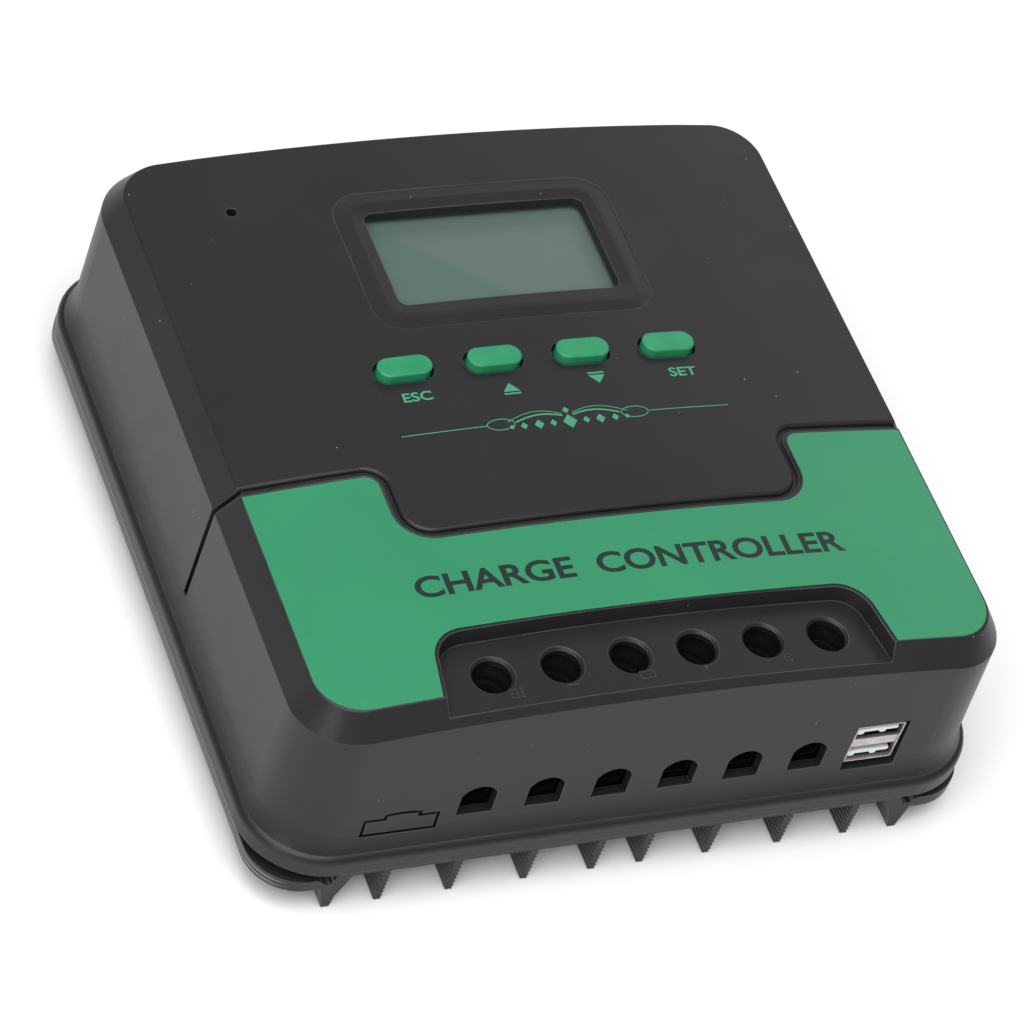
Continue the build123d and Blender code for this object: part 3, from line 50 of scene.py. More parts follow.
# Places on the object
CROWN_RADIUS = 797 * MM          # the cover's top arches across X
CROWN_TOP = 69.8 * MM
LABEL_DROP = 0.05 * MM           # the label's face lies this far below the crown
PANEL_DROP = 4.4 * MM            # the terminal panel lies this far below the crown
FIN_HEIGHT, FIN_TEETH = 11.4 * MM, 8     # the fins' sides have saw teeth from the floor to the plate
FIN_FADE = 0.2 * MM              # the painted light on the teeth's crests ends over this height below the plate
PAINTED_REFLECTION_SLOPE = 0.86           # the display's painted reflection starts where y + slope * x is PAINTED_REFLECTION_EDGE
PAINTED_REFLECTION_EDGE, PAINTED_REFLECTION_BLUR = 37.4 * MM, 1.5 * MM
HOLE_SHADE_REACH = 16 * MM             # holes narrower than this get painted shade inside
DUST, DUST_PITCH, DUST_PATCH = (0.42, 0.42, 0.40), 3.2 * MM, 26 * MM     # tone, distance, size of patches
USB_SHADE_START, USB_SHADE_FULL = 0.5 * MM, 1.6 * MM    # the sockets' painted shade grows from none to full between these depths
RIBBON_PITCH = 1.27 * MM

# Prints and raised symbols
PRINT_THICK = 0.03 * MM
PRINT_SINK = 0.02 * MM           # how far a print's underside lies below the surface it is on
LETTER_STEPS, LETTER_WELD = 6, 1e-5      # steps along each curve, and the distance at which points join
LEGENDS = {"ESC": ("button_cap_esc", 0.85 * MM), "SET": ("button_cap_set", 1.25 * MM)}
LEGEND_HIGH, LEGEND_WIDE, LEGEND_Y, LEGEND_BOLD = 2.9 * MM, 7.6 * MM, 1.6 * MM, 0.018
ARROWS = {"up": ("button_cap_up", 1), "down": ("button_cap_down", -1)}
ARROW_SHIFT, ARROW_Y, ARROW_HALF, ARROW_TALL = 1.4 * MM, 1.2 * MM, 2.2 * MM, 2.7 * MM
ARROW_GAP, ARROW_BAR = 0.45 * MM, 0.5 * MM
DIVIDER_X, DIVIDER_Y = -0.6 * MM, -10.2 * MM
RULE_FROM, RULE_TO, RULE_WIDE, RULE_STEPS = 21.5 * MM, 43.7 * MM, 0.22 * MM, 12
RING_WIDE, RING_HIGH, RING_STEPS = 3.6 * MM, 1.7 * MM, 28
ARC_FROM, ARC_DROP, ARC_STEPS = 1.4 * MM, 0.3 * MM, 18
ARC_PHASE, ARC_TURN = 0.18, 0.74     # the part of a half wave that an arc shows
ARCS = ((12.5 * MM, 2.1 * MM, 0.45 * MM), (14.6 * MM, 3.2 * MM, 0.2 * MM))     # reach, rise, width
LOZENGES = ((4.4 * MM, 0.95 * MM), (8.2 * MM, 1.25 * MM), (12.2 * MM, 0.95 * MM), (15.4 * MM, 0.65 * MM))
LOZENGE_DROP, LOZENGE_TALL, MIDDLE_LOZENGE = 1.2 * MM, 1.15, 1.9 * MM
UPPER_LOZENGE, UPPER_LOZENGE_RISE = 0.9 * MM, 2.4 * MM
WORDING, WORDING_HIGH, WORDING_WIDE, WORDING_BOLD = "CHARGE  CONTROLLER", 6.4 * MM, 112.5 * MM, 0.024
WORDING_AT = (0.1 * MM, -55.6 * MM)
SYMBOL_ROW, SYMBOL_LINE, SYMBOL_RISE = 1.8 * MM, 0.3 * MM, 0.10 * MM
CELL_X, CELL_PITCH_X, CELL_PITCH_Y, CELL_HALF = 4.0 * MM, 1.3 * MM, 1.1 * MM, 0.36 * MM
BARS = ((2, 0.4 * MM, 3.2 * MM), (4, 0.0, 1.6 * MM), (5, -1.2 * MM, 2.2 * MM))  # terminal, shift, length
CROSS_TERMINAL, CROSS_HALF = 4, 0.8 * MM
BATTERY_X, BATTERY_HALF_WIDE, BATTERY_HALF_HIGH = 2.2 * MM, 1.8 * MM, 1.0 * MM
LAMP_X, LAMP_RISE, LAMP_WIDE, LAMP_STROKE, LAMP_STEPS = 4.6 * MM, 0.2 * MM, 2.2 * MM, 0.8 * MM, 24

# Studio
FLOOR_SIZE, FLOOR_Z = 4.0, -0.3 * MM
FLOOR_DARKER, FLOOR_TONE, FLOOR_LIGHTER = (0.92, 0.92, 0.92), (0.93, 0.93, 0.93), (0.94, 0.94, 0.94)
FLOOR_IN_GLOSS = (0.86, 0.86, 0.86)   # the floor's tone where glossy walls mirror it
SURROUNDINGS = 0.27              # strength of the white surroundings
SOFTBOXES = (
    # name, place, target, width, height, watts
    ("overhead", (-0.5, -0.5, 1.7), (0, 0, 0.03), 1.9, 1.9, 46),
    ("left_front", (-1.3, -1.0, 0.45), (0, 0, 0.04), 0.5, 0.8, 4),
    ("behind", (1.1, 1.15, 1.0), (0, 0, 0.05), 0.9, 0.6, 2.2),
    ("behind_left", (0.2, 1.5, 1.05), (0, 0, 0.05), 0.8, 0.5, 1.6),
)
CAMERA_LENS, CAMERA_SENSOR = 158.2, 36.0
CAMERA_AT = (-0.4476, -0.6468, 0.8423)
CAMERA_RIGHT = (0.9137, -0.3266, 0.2417)
CAMERA_UP = (0.0981, 0.7546, 0.6488)
CAMERA_BACK = (-0.3943, -0.5691, 0.7216)


def crown_z(x, drop=0.0):
    """Height of the cover's arched top at x, lowered by drop."""
    return CROWN_TOP - CROWN_RADIUS + math.sqrt((CROWN_RADIUS - drop) ** 2 - x * x)


# ---- Node helpers ------------------------------------------------------------------------------

MIX_FIRST, MIX_SECOND, MIX_RESULT = 6, 7, 2     # the Mix node's colour sockets, counted from 0


class Shader:
    """One material's node tree, with short ways to add and join nodes."""

    def __init__(self, name, colour, roughness=0.5, metallic=0.0, **uniform):
        self.material = bpy.data.materials.new(name)
        self.material.use_nodes = True
        self.tree = self.material.node_tree
        self.surface = self.tree.nodes["Principled BSDF"]
        base = {"Base Color": (*colour, 1.0), "Roughness": roughness, "Metallic": metallic}
        self.set(self.surface, base)
        for socket, value in uniform.items():
            self.surface.inputs[socket.replace("_", " ")].default_value = value
        self.coords = self.tree.nodes.new("ShaderNodeTexCoord").outputs["Object"]

    def set(self, node, inputs):
        """Give a node's inputs values, or join them to other nodes' outputs."""
        for key, value in inputs.items():
            if isinstance(value, bpy.types.NodeSocket):
                self.tree.links.new(value, node.inputs[key])
            else:
                node.inputs[key].default_value = value
        return node

    def add(self, kind, inputs=None, **properties):
        """Add a node of this kind."""
        node = self.tree.nodes.new(kind)
        for key, value in properties.items():
            setattr(node, key, value)
        return self.set(node, inputs or {})

    def noise(self, size, detail=2.0, roughness=0.5, stretch=(1, 1, 1), distortion=0.0):
        """Noise from 0 to 1 with features about size metres across, stretched along the axes."""
        where = self.add("ShaderNodeMapping", {"Vector": self.coords, "Scale": [1 / s for s in stretch]})
        node = self.add(
            "ShaderNodeTexNoise",
            {
                "Vector": where.outputs["Vector"],
                "Scale": 1 / size,
                "Detail": detail,
                "Roughness": roughness,
                "Distortion": distortion,
            },
        )
        return node.outputs["Fac"]

    def cells(self, size):
        """Cells about size metres across: distance to the nearest point, and the cell's own colour."""
        node = self.add("ShaderNodeTexVoronoi", {"Vector": self.coords, "Scale": 1 / size})
        return node.outputs["Distance"], node.outputs["Color"]

    def span(self, value, low, high, to_low=0.0, to_high=1.0):
        """Value from low..high to to_low..to_high, held at the ends."""
        node = self.add(
            "ShaderNodeMapRange",
            {"Value": value, "From Min": low, "From Max": high, "To Min": to_low, "To Max": to_high},
        )
        return node.outputs["Result"]

    def math(self, operation, first, second=0.0):
        """An arithmetic step between two values."""
        node = self.add("ShaderNodeMath", operation=operation)
        self.set(node, {0: first, 1: second})
        return node.outputs[0]

    def mix(self, amount, first, second):
        """Colour between first and second."""
        node = self.add("ShaderNodeMix", data_type="RGBA")
        first = first if isinstance(first, bpy.types.NodeSocket) else (*first, 1.0)
        second = second if isinstance(second, bpy.types.NodeSocket) else (*second, 1.0)
        self.set(node, {"Factor": amount, MIX_FIRST: first, MIX_SECOND: second})
        return node.outputs[MIX_RESULT]

    def bump(self, height, distance, strength=1.0, normal=None):
        """Bump from a height, whose full swing is distance metres."""
        node = self.add("ShaderNodeBump", {"Height": height, "Distance": distance, "Strength": strength})
        if normal is not None:
            self.set(node, {"Normal": normal})
        return node.outputs["Normal"]

    def rounded_edges(self, radius, samples=6):
        """Normal with sharp edges softened to a radius."""
        return self.add("ShaderNodeBevel", {"Radius": radius}, samples=samples).outputs["Normal"]

    def edge_mask(self, softened, low, high):
        """1 on edges and 0 on flat faces, from the softened normal."""
        geometry = self.add("ShaderNodeNewGeometry")
        dot = self.add("ShaderNodeVectorMath", operation="DOT_PRODUCT")
        self.set(dot, {0: softened, 1: geometry.outputs["Normal"]})
        return self.span(dot.outputs["Value"], 1 - low, 1 - high)

    def openness(self, reach):
        """0 deep in holes and crevices and 1 on open faces, for painting shade into them."""
        node = self.add("ShaderNodeAmbientOcclusion", {"Distance": reach}, samples=6, only_local=True)
        return self.span(node.outputs["AO"], 0.25, 0.68)

    def finish(self, colour=None, roughness=None, normal=None):
        """Join the results to the surface and return the material."""
        if colour is not None:
            self.set(self.surface, {"Base Color": colour})
        if roughness is not None:
            self.set(self.surface, {"Roughness": roughness})
        if normal is not None:
            self.set(self.surface, {"Normal": normal})
        return self.material


def scaled(colour, factor):
    """A colour made lighter or darker."""
    return tuple(min(1.0, c * factor) for c in colour)


# ---- Materials ---------------------------------------------------------------------------------


def moulded_plastic(name, colour, roughness, grain, depth, edge=0.3 * MM, wear_and_highlight_factor=2.2, specular=0.5,
                    dusty=False, hole_shade_reach=0.0):
    """Moulded plastic: fine spark-eroded grain, uneven gloss, and scuffed edges that are also lightened
    as a painted highlight.

    It can also be dusty, and gets painted shade, dull and dark, inside holes that are narrower than
    hole_shade_reach.
    """
    s = Shader(name, colour, Specular_IOR_Level=specular)
    cloud = s.noise(38 * MM, detail=3)
    smear = s.noise(9 * MM, detail=4, stretch=(2.5, 1, 1))
    texture = s.noise(grain, detail=3, roughness=0.65)
    tone = s.mix(s.span(cloud, 0.35, 0.7), scaled(colour, 0.88), scaled(colour, 1.14))
    tone = s.mix(s.span(texture, 0.3, 0.75, 0.0, 0.35), tone, scaled(colour, 1.5))
    softened = s.rounded_edges(edge)
    # Edges are lightened partly as scuffing and partly as a painted highlight: the thin light lines where
    # rounded edges catch the lamps.
    wear_and_highlight_mask = s.math("MULTIPLY", s.edge_mask(softened, 0.006, 0.08), s.span(smear, 0.3, 0.65, 0.35, 1.0))
    tone = s.mix(wear_and_highlight_mask, tone, scaled(colour, wear_and_highlight_factor))
    fine = s.span(texture, 0.3, 0.7, roughness - 0.03, roughness + 0.03)
    gloss = s.math("ADD", s.span(smear, 0.3, 0.75, -0.015, 0.02), fine)
    gloss = s.math("SUBTRACT", gloss, s.math("MULTIPLY", wear_and_highlight_mask, 0.07))
    if hole_shade_reach:
        # Painted shade: colour darkened and reflection dulled deep in holes and crevices.
        openness = s.openness(hole_shade_reach)
        tone = s.mix(openness, scaled(colour, 0.3), tone)
        gloss = s.math("ADD", gloss, s.span(openness, 0, 1, 0.3, 0.0))
        s.set(s.surface, {"Specular IOR Level": s.span(openness, 0, 1, 0.02, specular)})
    if dusty:
        tone = s.mix(dust_specks(s), tone, DUST)
    normal = s.bump(texture, depth, normal=softened)
    return s.finish(tone, gloss, normal)


def dust_specks(s):
    """1 on small specks that lie in loose patches, and 0 between them."""
    distance, own = s.cells(DUST_PITCH)
    chance = s.add("ShaderNodeSeparateColor", {"Color": own}).outputs[0]
    patch = s.span(s.noise(DUST_PATCH, detail=2), 0.42, 0.72)
    speck = s.math("MULTIPLY", s.span(distance, 0.045, 0.09, 1.0, 0.0), s.span(chance, 0.90, 0.93))
    return s.math("MULTIPLY", s.math("MULTIPLY", speck, patch), 0.9)


def anodised():
    """Black anodised extrusion: draw lines along Y, uneven dye, bare metal at chipped corners, and
    painted light on the crests of the fin teeth.
    """
    base, bare, rubbed_and_crest_light = (0.022, 0.022, 0.0235), (0.13, 0.13, 0.135), (0.17, 0.17, 0.175)
    s = Shader("anodised_aluminium", base, metallic=0.3, Specular_IOR_Level=0.4)
    lines = s.noise(0.35 * MM, detail=4, roughness=0.7, stretch=(1, 220, 1))
    cloud = s.noise(20 * MM, detail=3)
    softened = s.rounded_edges(0.18 * MM)
    chips = s.noise(2.5 * MM, detail=4)
    wear_and_highlight_mask = s.math("MULTIPLY", s.edge_mask(softened, 0.01, 0.3), s.span(chips, 0.4, 0.62))
    tone = s.mix(s.span(cloud, 0.3, 0.7), scaled(base, 0.8), scaled(base, 1.3))
    tone = s.mix(s.span(lines, 0.45, 0.75, 0.0, 0.5), tone, scaled(base, 1.9))
    tone = s.mix(wear_and_highlight_mask, tone, bare)
    place = s.add("ShaderNodeSeparateXYZ", {"Vector": s.coords})
    facing = s.add("ShaderNodeSeparateXYZ", {"Vector": s.add("ShaderNodeNewGeometry").outputs["Normal"]})
    sideways = s.span(s.math("ABSOLUTE", facing.outputs["X"]), 0.4, 0.7)
    below_plate = s.span(place.outputs["Z"], FIN_HEIGHT - FIN_FADE, FIN_HEIGHT, 1.0, 0.0)
    wave = s.math("COSINE", s.math("MULTIPLY", place.outputs["Z"], 2 * math.pi * FIN_TEETH / FIN_HEIGHT))
    # Painted light: the crests of the side teeth are lightened as if lit, fading out just below the
    # plate.
    painted_crest_light = s.math("MULTIPLY", s.math("MULTIPLY", sideways, below_plate), s.span(wave, -0.35, 0.45))
    tone = s.mix(painted_crest_light, tone, rubbed_and_crest_light)
    gloss = s.span(lines, 0.3, 0.7, 0.36, 0.52)
    return s.finish(tone, gloss, s.bump(lines, 0.02 * MM, 0.6, softened))


def printed_film(name, colour, roughness=0.34):
    """Screen-printed polyester: faint orange peel, print grain, small rubs and a painted highlight along
    the cut edge.
    """
    s = Shader(name, colour, Specular_IOR_Level=0.34)
    softened = s.rounded_edges(0.16 * MM, samples=4)
    grain = s.noise(0.16 * MM, detail=2)
    cloud = s.noise(45 * MM, detail=2)
    peel = s.noise(1.3 * MM, detail=2)
    rub = s.noise(7 * MM, detail=5, roughness=0.6, stretch=(4, 1, 1))
    tone = s.mix(s.span(cloud, 0.3, 0.7), scaled(colour, 0.94), scaled(colour, 1.05))
    tone = s.mix(s.span(grain, 0.35, 0.7, 0.0, 0.22), tone, scaled(colour, 1.22))
    # Painted highlight: the film's edge is lightened where it would catch the light.
    tone = s.mix(s.edge_mask(softened, 0.005, 0.2), tone, scaled(colour, 2.2))
    rubbed_and_crest_light = s.span(rub, 0.5, 0.7, 0.0, 0.06)
    gloss = s.math("ADD", s.span(peel, 0.3, 0.7, roughness - 0.03, roughness + 0.03), rubbed_and_crest_light)
    return s.finish(tone, gloss, s.bump(peel, 0.004 * MM, normal=softened))


def button_plastic():
    """Glossy green caps, paler along the rim as a painted highlight."""
    base, polish_and_highlight = (0.026, 0.262, 0.117), (0.12, 0.50, 0.29)
    s = Shader("button_plastic", base, Subsurface_Weight=0.08, Subsurface_Scale=1.2 * MM,
               Specular_IOR_Level=0.34)
    texture = s.noise(0.35 * MM, detail=3)
    cloud = s.noise(6 * MM, detail=2)
    softened = s.rounded_edges(0.35 * MM)
    # Painted highlight along the caps' rounded rim.
    rim_highlight_mask = s.math("MULTIPLY", s.edge_mask(softened, 0.01, 0.16), s.span(cloud, 0.2, 0.6, 0.6, 1.0))
    tone = s.mix(s.span(cloud, 0.3, 0.7), scaled(base, 0.92), scaled(base, 1.08))
    tone = s.mix(rim_highlight_mask, tone, polish_and_highlight)
    gloss = s.span(texture, 0.3, 0.7, 0.27, 0.36)
    return s.finish(tone, gloss, s.bump(texture, 0.004 * MM, normal=softened))


def lcd_glass():
    """Blank reflective display: grey-green, with a painted reflection: a faint slanted change of tone,
    lighter above the slant and towards the right.
    """
    base = (0.128, 0.195, 0.165)
    # Painted reflection: the left and right tones brighten towards the right, and the tone below the
    # slanted line is darker.
    left, right, lower = (0.125, 0.194, 0.164), (0.142, 0.203, 0.170), (0.102, 0.181, 0.152)
    s = Shader("lcd_glass", base, Coat_Weight=0.4, Coat_Roughness=0.08)
    cloud = s.noise(30 * MM, detail=2)
    cloth = s.noise(0.12 * MM, detail=1)
    place = s.add("ShaderNodeSeparateXYZ", {"Vector": s.coords})
    reflection_slant = s.math("ADD", place.outputs["Y"], s.math("MULTIPLY", place.outputs["X"], PAINTED_REFLECTION_SLOPE))
    upper = s.span(reflection_slant, PAINTED_REFLECTION_EDGE - PAINTED_REFLECTION_BLUR, PAINTED_REFLECTION_EDGE + PAINTED_REFLECTION_BLUR)
    low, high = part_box("lcd_panel")
    across = s.span(place.outputs["X"], low.x, high.x)
    tone = s.mix(across, left, right)
    tone = s.mix(s.math("SUBTRACT", 1.0, upper), tone, lower)
    tone = s.mix(s.span(cloud, 0.3, 0.7, 0.0, 0.25), tone, scaled(base, 1.12))
    gloss = s.span(cloth, 0.3, 0.7, 0.30, 0.40)
    return s.finish(tone, gloss, s.bump(cloth, 0.002 * MM))


def clear_window():
    """Clear acrylic sheet that shows the display and adds its own soft reflection."""
    s = Shader("clear_window", (0.05, 0.06, 0.06), roughness=0.06, IOR=1.49, Alpha=0.10)
    smear = s.noise(11 * MM, detail=4, stretch=(2, 1, 1))
    return s.finish(roughness=s.span(smear, 0.35, 0.7, 0.05, 0.14), normal=s.bump(smear, 0.003 * MM))


def metal(name, colour, roughness, lines=(1, 1, 1), size=0.4 * MM):
    """Plated or bare metal with fine tool lines, dull patches and edges burnished bright."""
    s = Shader(name, colour, metallic=1.0)
    tool = s.noise(size, detail=4, roughness=0.7, stretch=lines)
    cloud = s.noise(5 * MM, detail=3)
    softened = s.rounded_edges(0.12 * MM, samples=4)
    polish_and_highlight = s.edge_mask(softened, 0.01, 0.25)
    tone = s.mix(s.span(cloud, 0.35, 0.7), scaled(colour, 0.82), colour)
    tone = s.mix(s.math("MULTIPLY", polish_and_highlight, 0.6), tone, scaled(colour, 1.25))
    fine = s.span(tool, 0.3, 0.7, roughness - 0.08, roughness + 0.08)
    gloss = s.math("ADD", fine, s.span(cloud, 0.4, 0.7, 0.0, 0.07))
    return s.finish(tone, gloss, s.bump(tool, 0.006 * MM, normal=softened))


def socket_steel():
    """Nickel-plated sheet of the USB socket: bright at the mouth, with painted shade further in."""
    colour, painted_shade = (0.56, 0.51, 0.52), (0.012, 0.012, 0.012)
    s = Shader("usb_steel", colour, metallic=0.85)
    rolled = s.noise(0.2 * MM, detail=4, roughness=0.7, stretch=(1, 25, 1))
    cloud = s.noise(3 * MM, detail=3)
    softened = s.rounded_edges(0.1 * MM, samples=4)
    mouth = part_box("usb_shell")[0].y
    place = s.add("ShaderNodeSeparateXYZ", {"Vector": s.coords})
    # Painted shade: the sheet darkens from the mouth inwards.
    depth = s.span(place.outputs["Y"], mouth + USB_SHADE_START, mouth + USB_SHADE_FULL)
    tone = s.mix(s.span(cloud, 0.35, 0.7), scaled(colour, 0.9), scaled(colour, 1.1))
    tone = s.mix(s.edge_mask(softened, 0.01, 0.25), tone, scaled(colour, 1.6))
    tone = s.mix(depth, tone, painted_shade)
    gloss = s.math("ADD", s.span(rolled, 0.3, 0.7, 0.22, 0.36), s.math("MULTIPLY", depth, 0.35))
    return s.finish(tone, gloss, s.bump(rolled, 0.006 * MM, normal=softened))


def circuit_board():
    """Solder mask over copper: darker tracks in a grid, with plated dots."""
    base, plated = (0.012, 0.105, 0.045), (0.55, 0.52, 0.45)
    s = Shader("circuit_board", base, Coat_Weight=0.5, Coat_Roughness=0.15)
    track = s.add("ShaderNodeTexBrick", {"Vector": s.coords, "Scale": 120.0, "Mortar Size": 0.08})
    weave = s.noise(0.5 * MM, detail=2)
    distance, _ = s.cells(6 * MM)
    tone = s.mix(track.outputs["Fac"], base, scaled(base, 1.9))
    tone = s.mix(s.span(distance, 0.06, 0.08, 1.0, 0.0), tone, plated)
    tone = s.mix(s.span(weave, 0.4, 0.7, 0.0, 0.2), tone, scaled(base, 1.6))
    height = s.math("ADD", track.outputs["Fac"], s.math("MULTIPLY", weave, 0.2))
    return s.finish(tone, s.span(weave, 0.3, 0.7, 0.25, 0.4), s.bump(height, 0.02 * MM))


def ribbon():
    """Flat cable: parallel cores along the cable, the first one red."""
    base, red = (0.34, 0.35, 0.37), (0.45, 0.03, 0.02)
    s = Shader("ribbon_cable", base)
    place = s.add("ShaderNodeSeparateXYZ", {"Vector": s.coords})
    core = s.math("SINE", s.math("MULTIPLY", place.outputs["X"], 2 * math.pi / RIBBON_PITCH))
    first_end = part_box("display_ribbon")[0].x + RIBBON_PITCH
    first = s.span(place.outputs["X"], first_end - 0.07 * MM, first_end + 0.03 * MM, 1.0, 0.0)
    tone = s.mix(s.span(core, -1, 1, 0.0, 0.4), base, scaled(base, 0.5))
    tone = s.mix(first, tone, red)
    dull = s.noise(2 * MM, detail=3)
    return s.finish(tone, s.span(dull, 0.3, 0.7, 0.45, 0.6), s.bump(core, 0.1 * MM, 0.6))


def granular(name, colour, roughness, grain, depth):
    """A coated, pressed or rubbery surface with an even grain."""
    s = Shader(name, colour)
    texture = s.noise(grain, detail=4, roughness=0.6)
    cloud = s.noise(8 * MM, detail=2)
    tone = s.mix(s.span(texture, 0.3, 0.7), scaled(colour, 0.75), scaled(colour, 1.2))
    tone = s.mix(s.span(cloud, 0.4, 0.7, 0.0, 0.3), tone, scaled(colour, 0.7))
    gloss = s.span(texture, 0.3, 0.7, roughness - 0.06, roughness + 0.06)
    return s.finish(tone, gloss, s.bump(texture, depth))


def clear_resin(name, colour, alpha):
    """Tinted clear resin with slight flow marks."""
    s = Shader(name, colour, roughness=0.1, Alpha=alpha)
    flow = s.noise(2 * MM, detail=3, distortion=1.0)
    tone = s.mix(s.span(flow, 0.3, 0.7), scaled(colour, 0.85), scaled(colour, 1.1))
    return s.finish(tone, s.span(flow, 0.3, 0.7, 0.06, 0.16), s.bump(flow, 0.01 * MM))


MATERIALS = {
    # The cover's strong edge factor paints bright highlight lines along its edges, and its hole reach
    # paints shade inside its holes.
    "cover_black": moulded_plastic("cover_plastic", (0.0145, 0.0145, 0.0153), 0.38, 0.28 * MM,
                                   0.006 * MM, edge=0.34 * MM, wear_and_highlight_factor=8.0, specular=0.32,
                                   dusty=True, hole_shade_reach=HOLE_SHADE_REACH),
    "anodised_black": anodised(),
    "label_green": printed_film("label_film", (0.029, 0.233, 0.110)),
    "button_green": button_plastic(),
    "window_clear": clear_window(),
    "lcd_grey": lcd_glass(),
    "diffuser_white": granular("diffuser", (0.75, 0.75, 0.72), 0.5, 0.5 * MM, 0.01 * MM),
    "inner_black": moulded_plastic("inner_plastic", (0.022, 0.022, 0.022), 0.45, 0.3 * MM, 0.01 * MM),
    "led_clear": clear_resin("led_resin", (0.75, 0.8, 0.75), 0.55),
    "board_green": circuit_board(),
    "ribbon_grey": ribbon(),
    "terminal_black": moulded_plastic("terminal_plastic", (0.005, 0.005, 0.0055), 0.6, 0.4 * MM,
                                      0.015 * MM, specular=0.08),
    "plated_steel": metal("plated_steel", (0.58, 0.58, 0.56), 0.32),
    # The screws' steel tone is darkened as painted shade, since they sit deep in their holes.
    "screw_steel": metal("screw_steel", (0.26, 0.26, 0.26), 0.38),
    "brass": metal("brass", (0.72, 0.52, 0.22), 0.28, lines=(1, 30, 1)),
    "device_black": moulded_plastic("device_mould", (0.02, 0.02, 0.02), 0.5, 0.15 * MM, 0.01 * MM),
    "pad_grey": granular("silicone_pad", (0.38, 0.40, 0.43), 0.7, 0.4 * MM, 0.02 * MM),
    "core_yellow": granular("powder_core", (0.45, 0.37, 0.05), 0.55, 0.5 * MM, 0.03 * MM),
    "copper": metal("enamelled_copper", (0.62, 0.24, 0.09), 0.22, size=0.8 * MM),
    "can_aluminium": printed_film("can_sleeve", (0.03, 0.035, 0.09), 0.3),
    "fuse_tint": clear_resin("fuse_resin", (0.75, 0.33, 0.03), 0.85),
    "usb_steel": socket_steel(),
    "usb_white": moulded_plastic("usb_plastic", (0.66, 0.71, 0.72), 0.4, 0.3 * MM, 0.004 * MM,
                                 edge=0.1 * MM, wear_and_highlight_factor=1.15),
}
PRINT_GREEN = printed_film("legend_ink", (0.056, 0.29, 0.160), 0.42)
PRINT_DARK = printed_film("label_ink", (0.010, 0.022, 0.018), 0.40)


def dress_nodes():
    """Give every CAD node its slot's finished material."""
    slots = {part["node"]: part["material_slot"] for part in frame["record"]["subparts"]}
    for name, obj in frame["nodes"].items():
        for slot in obj.material_slots:
            slot.material = MATERIALS[slots[name]]


# ---- Mesh helpers ------------------------------------------------------------------------------


def piece(name, mesh_source, material, body):
    """Turn a bmesh into a named piece that rides on a body."""
    mesh = bpy.data.meshes.new(name)
    bmesh.ops.recalc_face_normals(mesh_source, faces=mesh_source.faces)
    mesh_source.to_mesh(mesh)
    mesh_source.free()
    mesh.materials.append(material)
    for polygon in mesh.polygons:
        polygon.use_smooth = False
    obj = bpy.data.objects.new(name, mesh)
    bpy.context.scene.collection.objects.link(obj)
    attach(obj, body)


def print_on_crown(flat, drop=0.0, thick=PRINT_THICK):
    """Bend flat faces, drawn in the XY plane, over the crown and give them a thickness."""
    flat.normal_update()
    bmesh.ops.triangulate(flat, faces=flat.faces)
    top = bmesh.ops.extrude_face_region(flat, geom=flat.faces[:])
    upper = {v for v in top["geom"] if isinstance(v, bmesh.types.BMVert)}
    for vert in flat.verts:
        rise = thick if vert in upper else -PRINT_SINK
        vert.co.z = crown_z(vert.co.x, drop) + rise
    return flat


def add_polygon(target, points):
    """Add a flat closed polygon to a bmesh."""
    target.faces.new([target.verts.new((x, y, 0)) for x, y in points])


def add_block(target, x0, x1, y0, y1):
    """Add a flat rectangle with opposite corners at x0, y0 and x1, y1."""
    add_polygon(target, [(x0, y0), (x1, y0), (x1, y1), (x0, y1)])


def add_lozenge(target, x, y, half):
    """Add a small upright lozenge."""
    tall = half * LOZENGE_TALL
    add_polygon(target, [(x - half, y), (x, y - tall), (x + half, y), (x, y + tall)])


def add_strip(target, points, width):
    """Add a flat ribbon of even width along points."""
    sides = []
    for i, (x, y) in enumerate(points):
        before = points[max(i - 1, 0)]
        after = points[min(i + 1, len(points) - 1)]
        along = Vector((after[0] - before[0], after[1] - before[1])).normalized()
        off = Vector((-along.y, along.x)) * width / 2
        left = target.verts.new((x + off.x, y + off.y, 0))
        right = target.verts.new((x - off.x, y - off.y, 0))
        sides.append((left, right))
    for first, second in zip(sides, sides[1:]):
        target.faces.new((first[0], first[1], second[1], second[0]))


def add_ring(target, x, y, half_wide, half_high, width, steps):
    """Add a flat ring or oval."""
    turns = [2 * math.pi * i / steps for i in range(steps + 1)]
    add_strip(target, [(x + half_wide * math.cos(a), y + half_high * math.sin(a)) for a in turns], width)


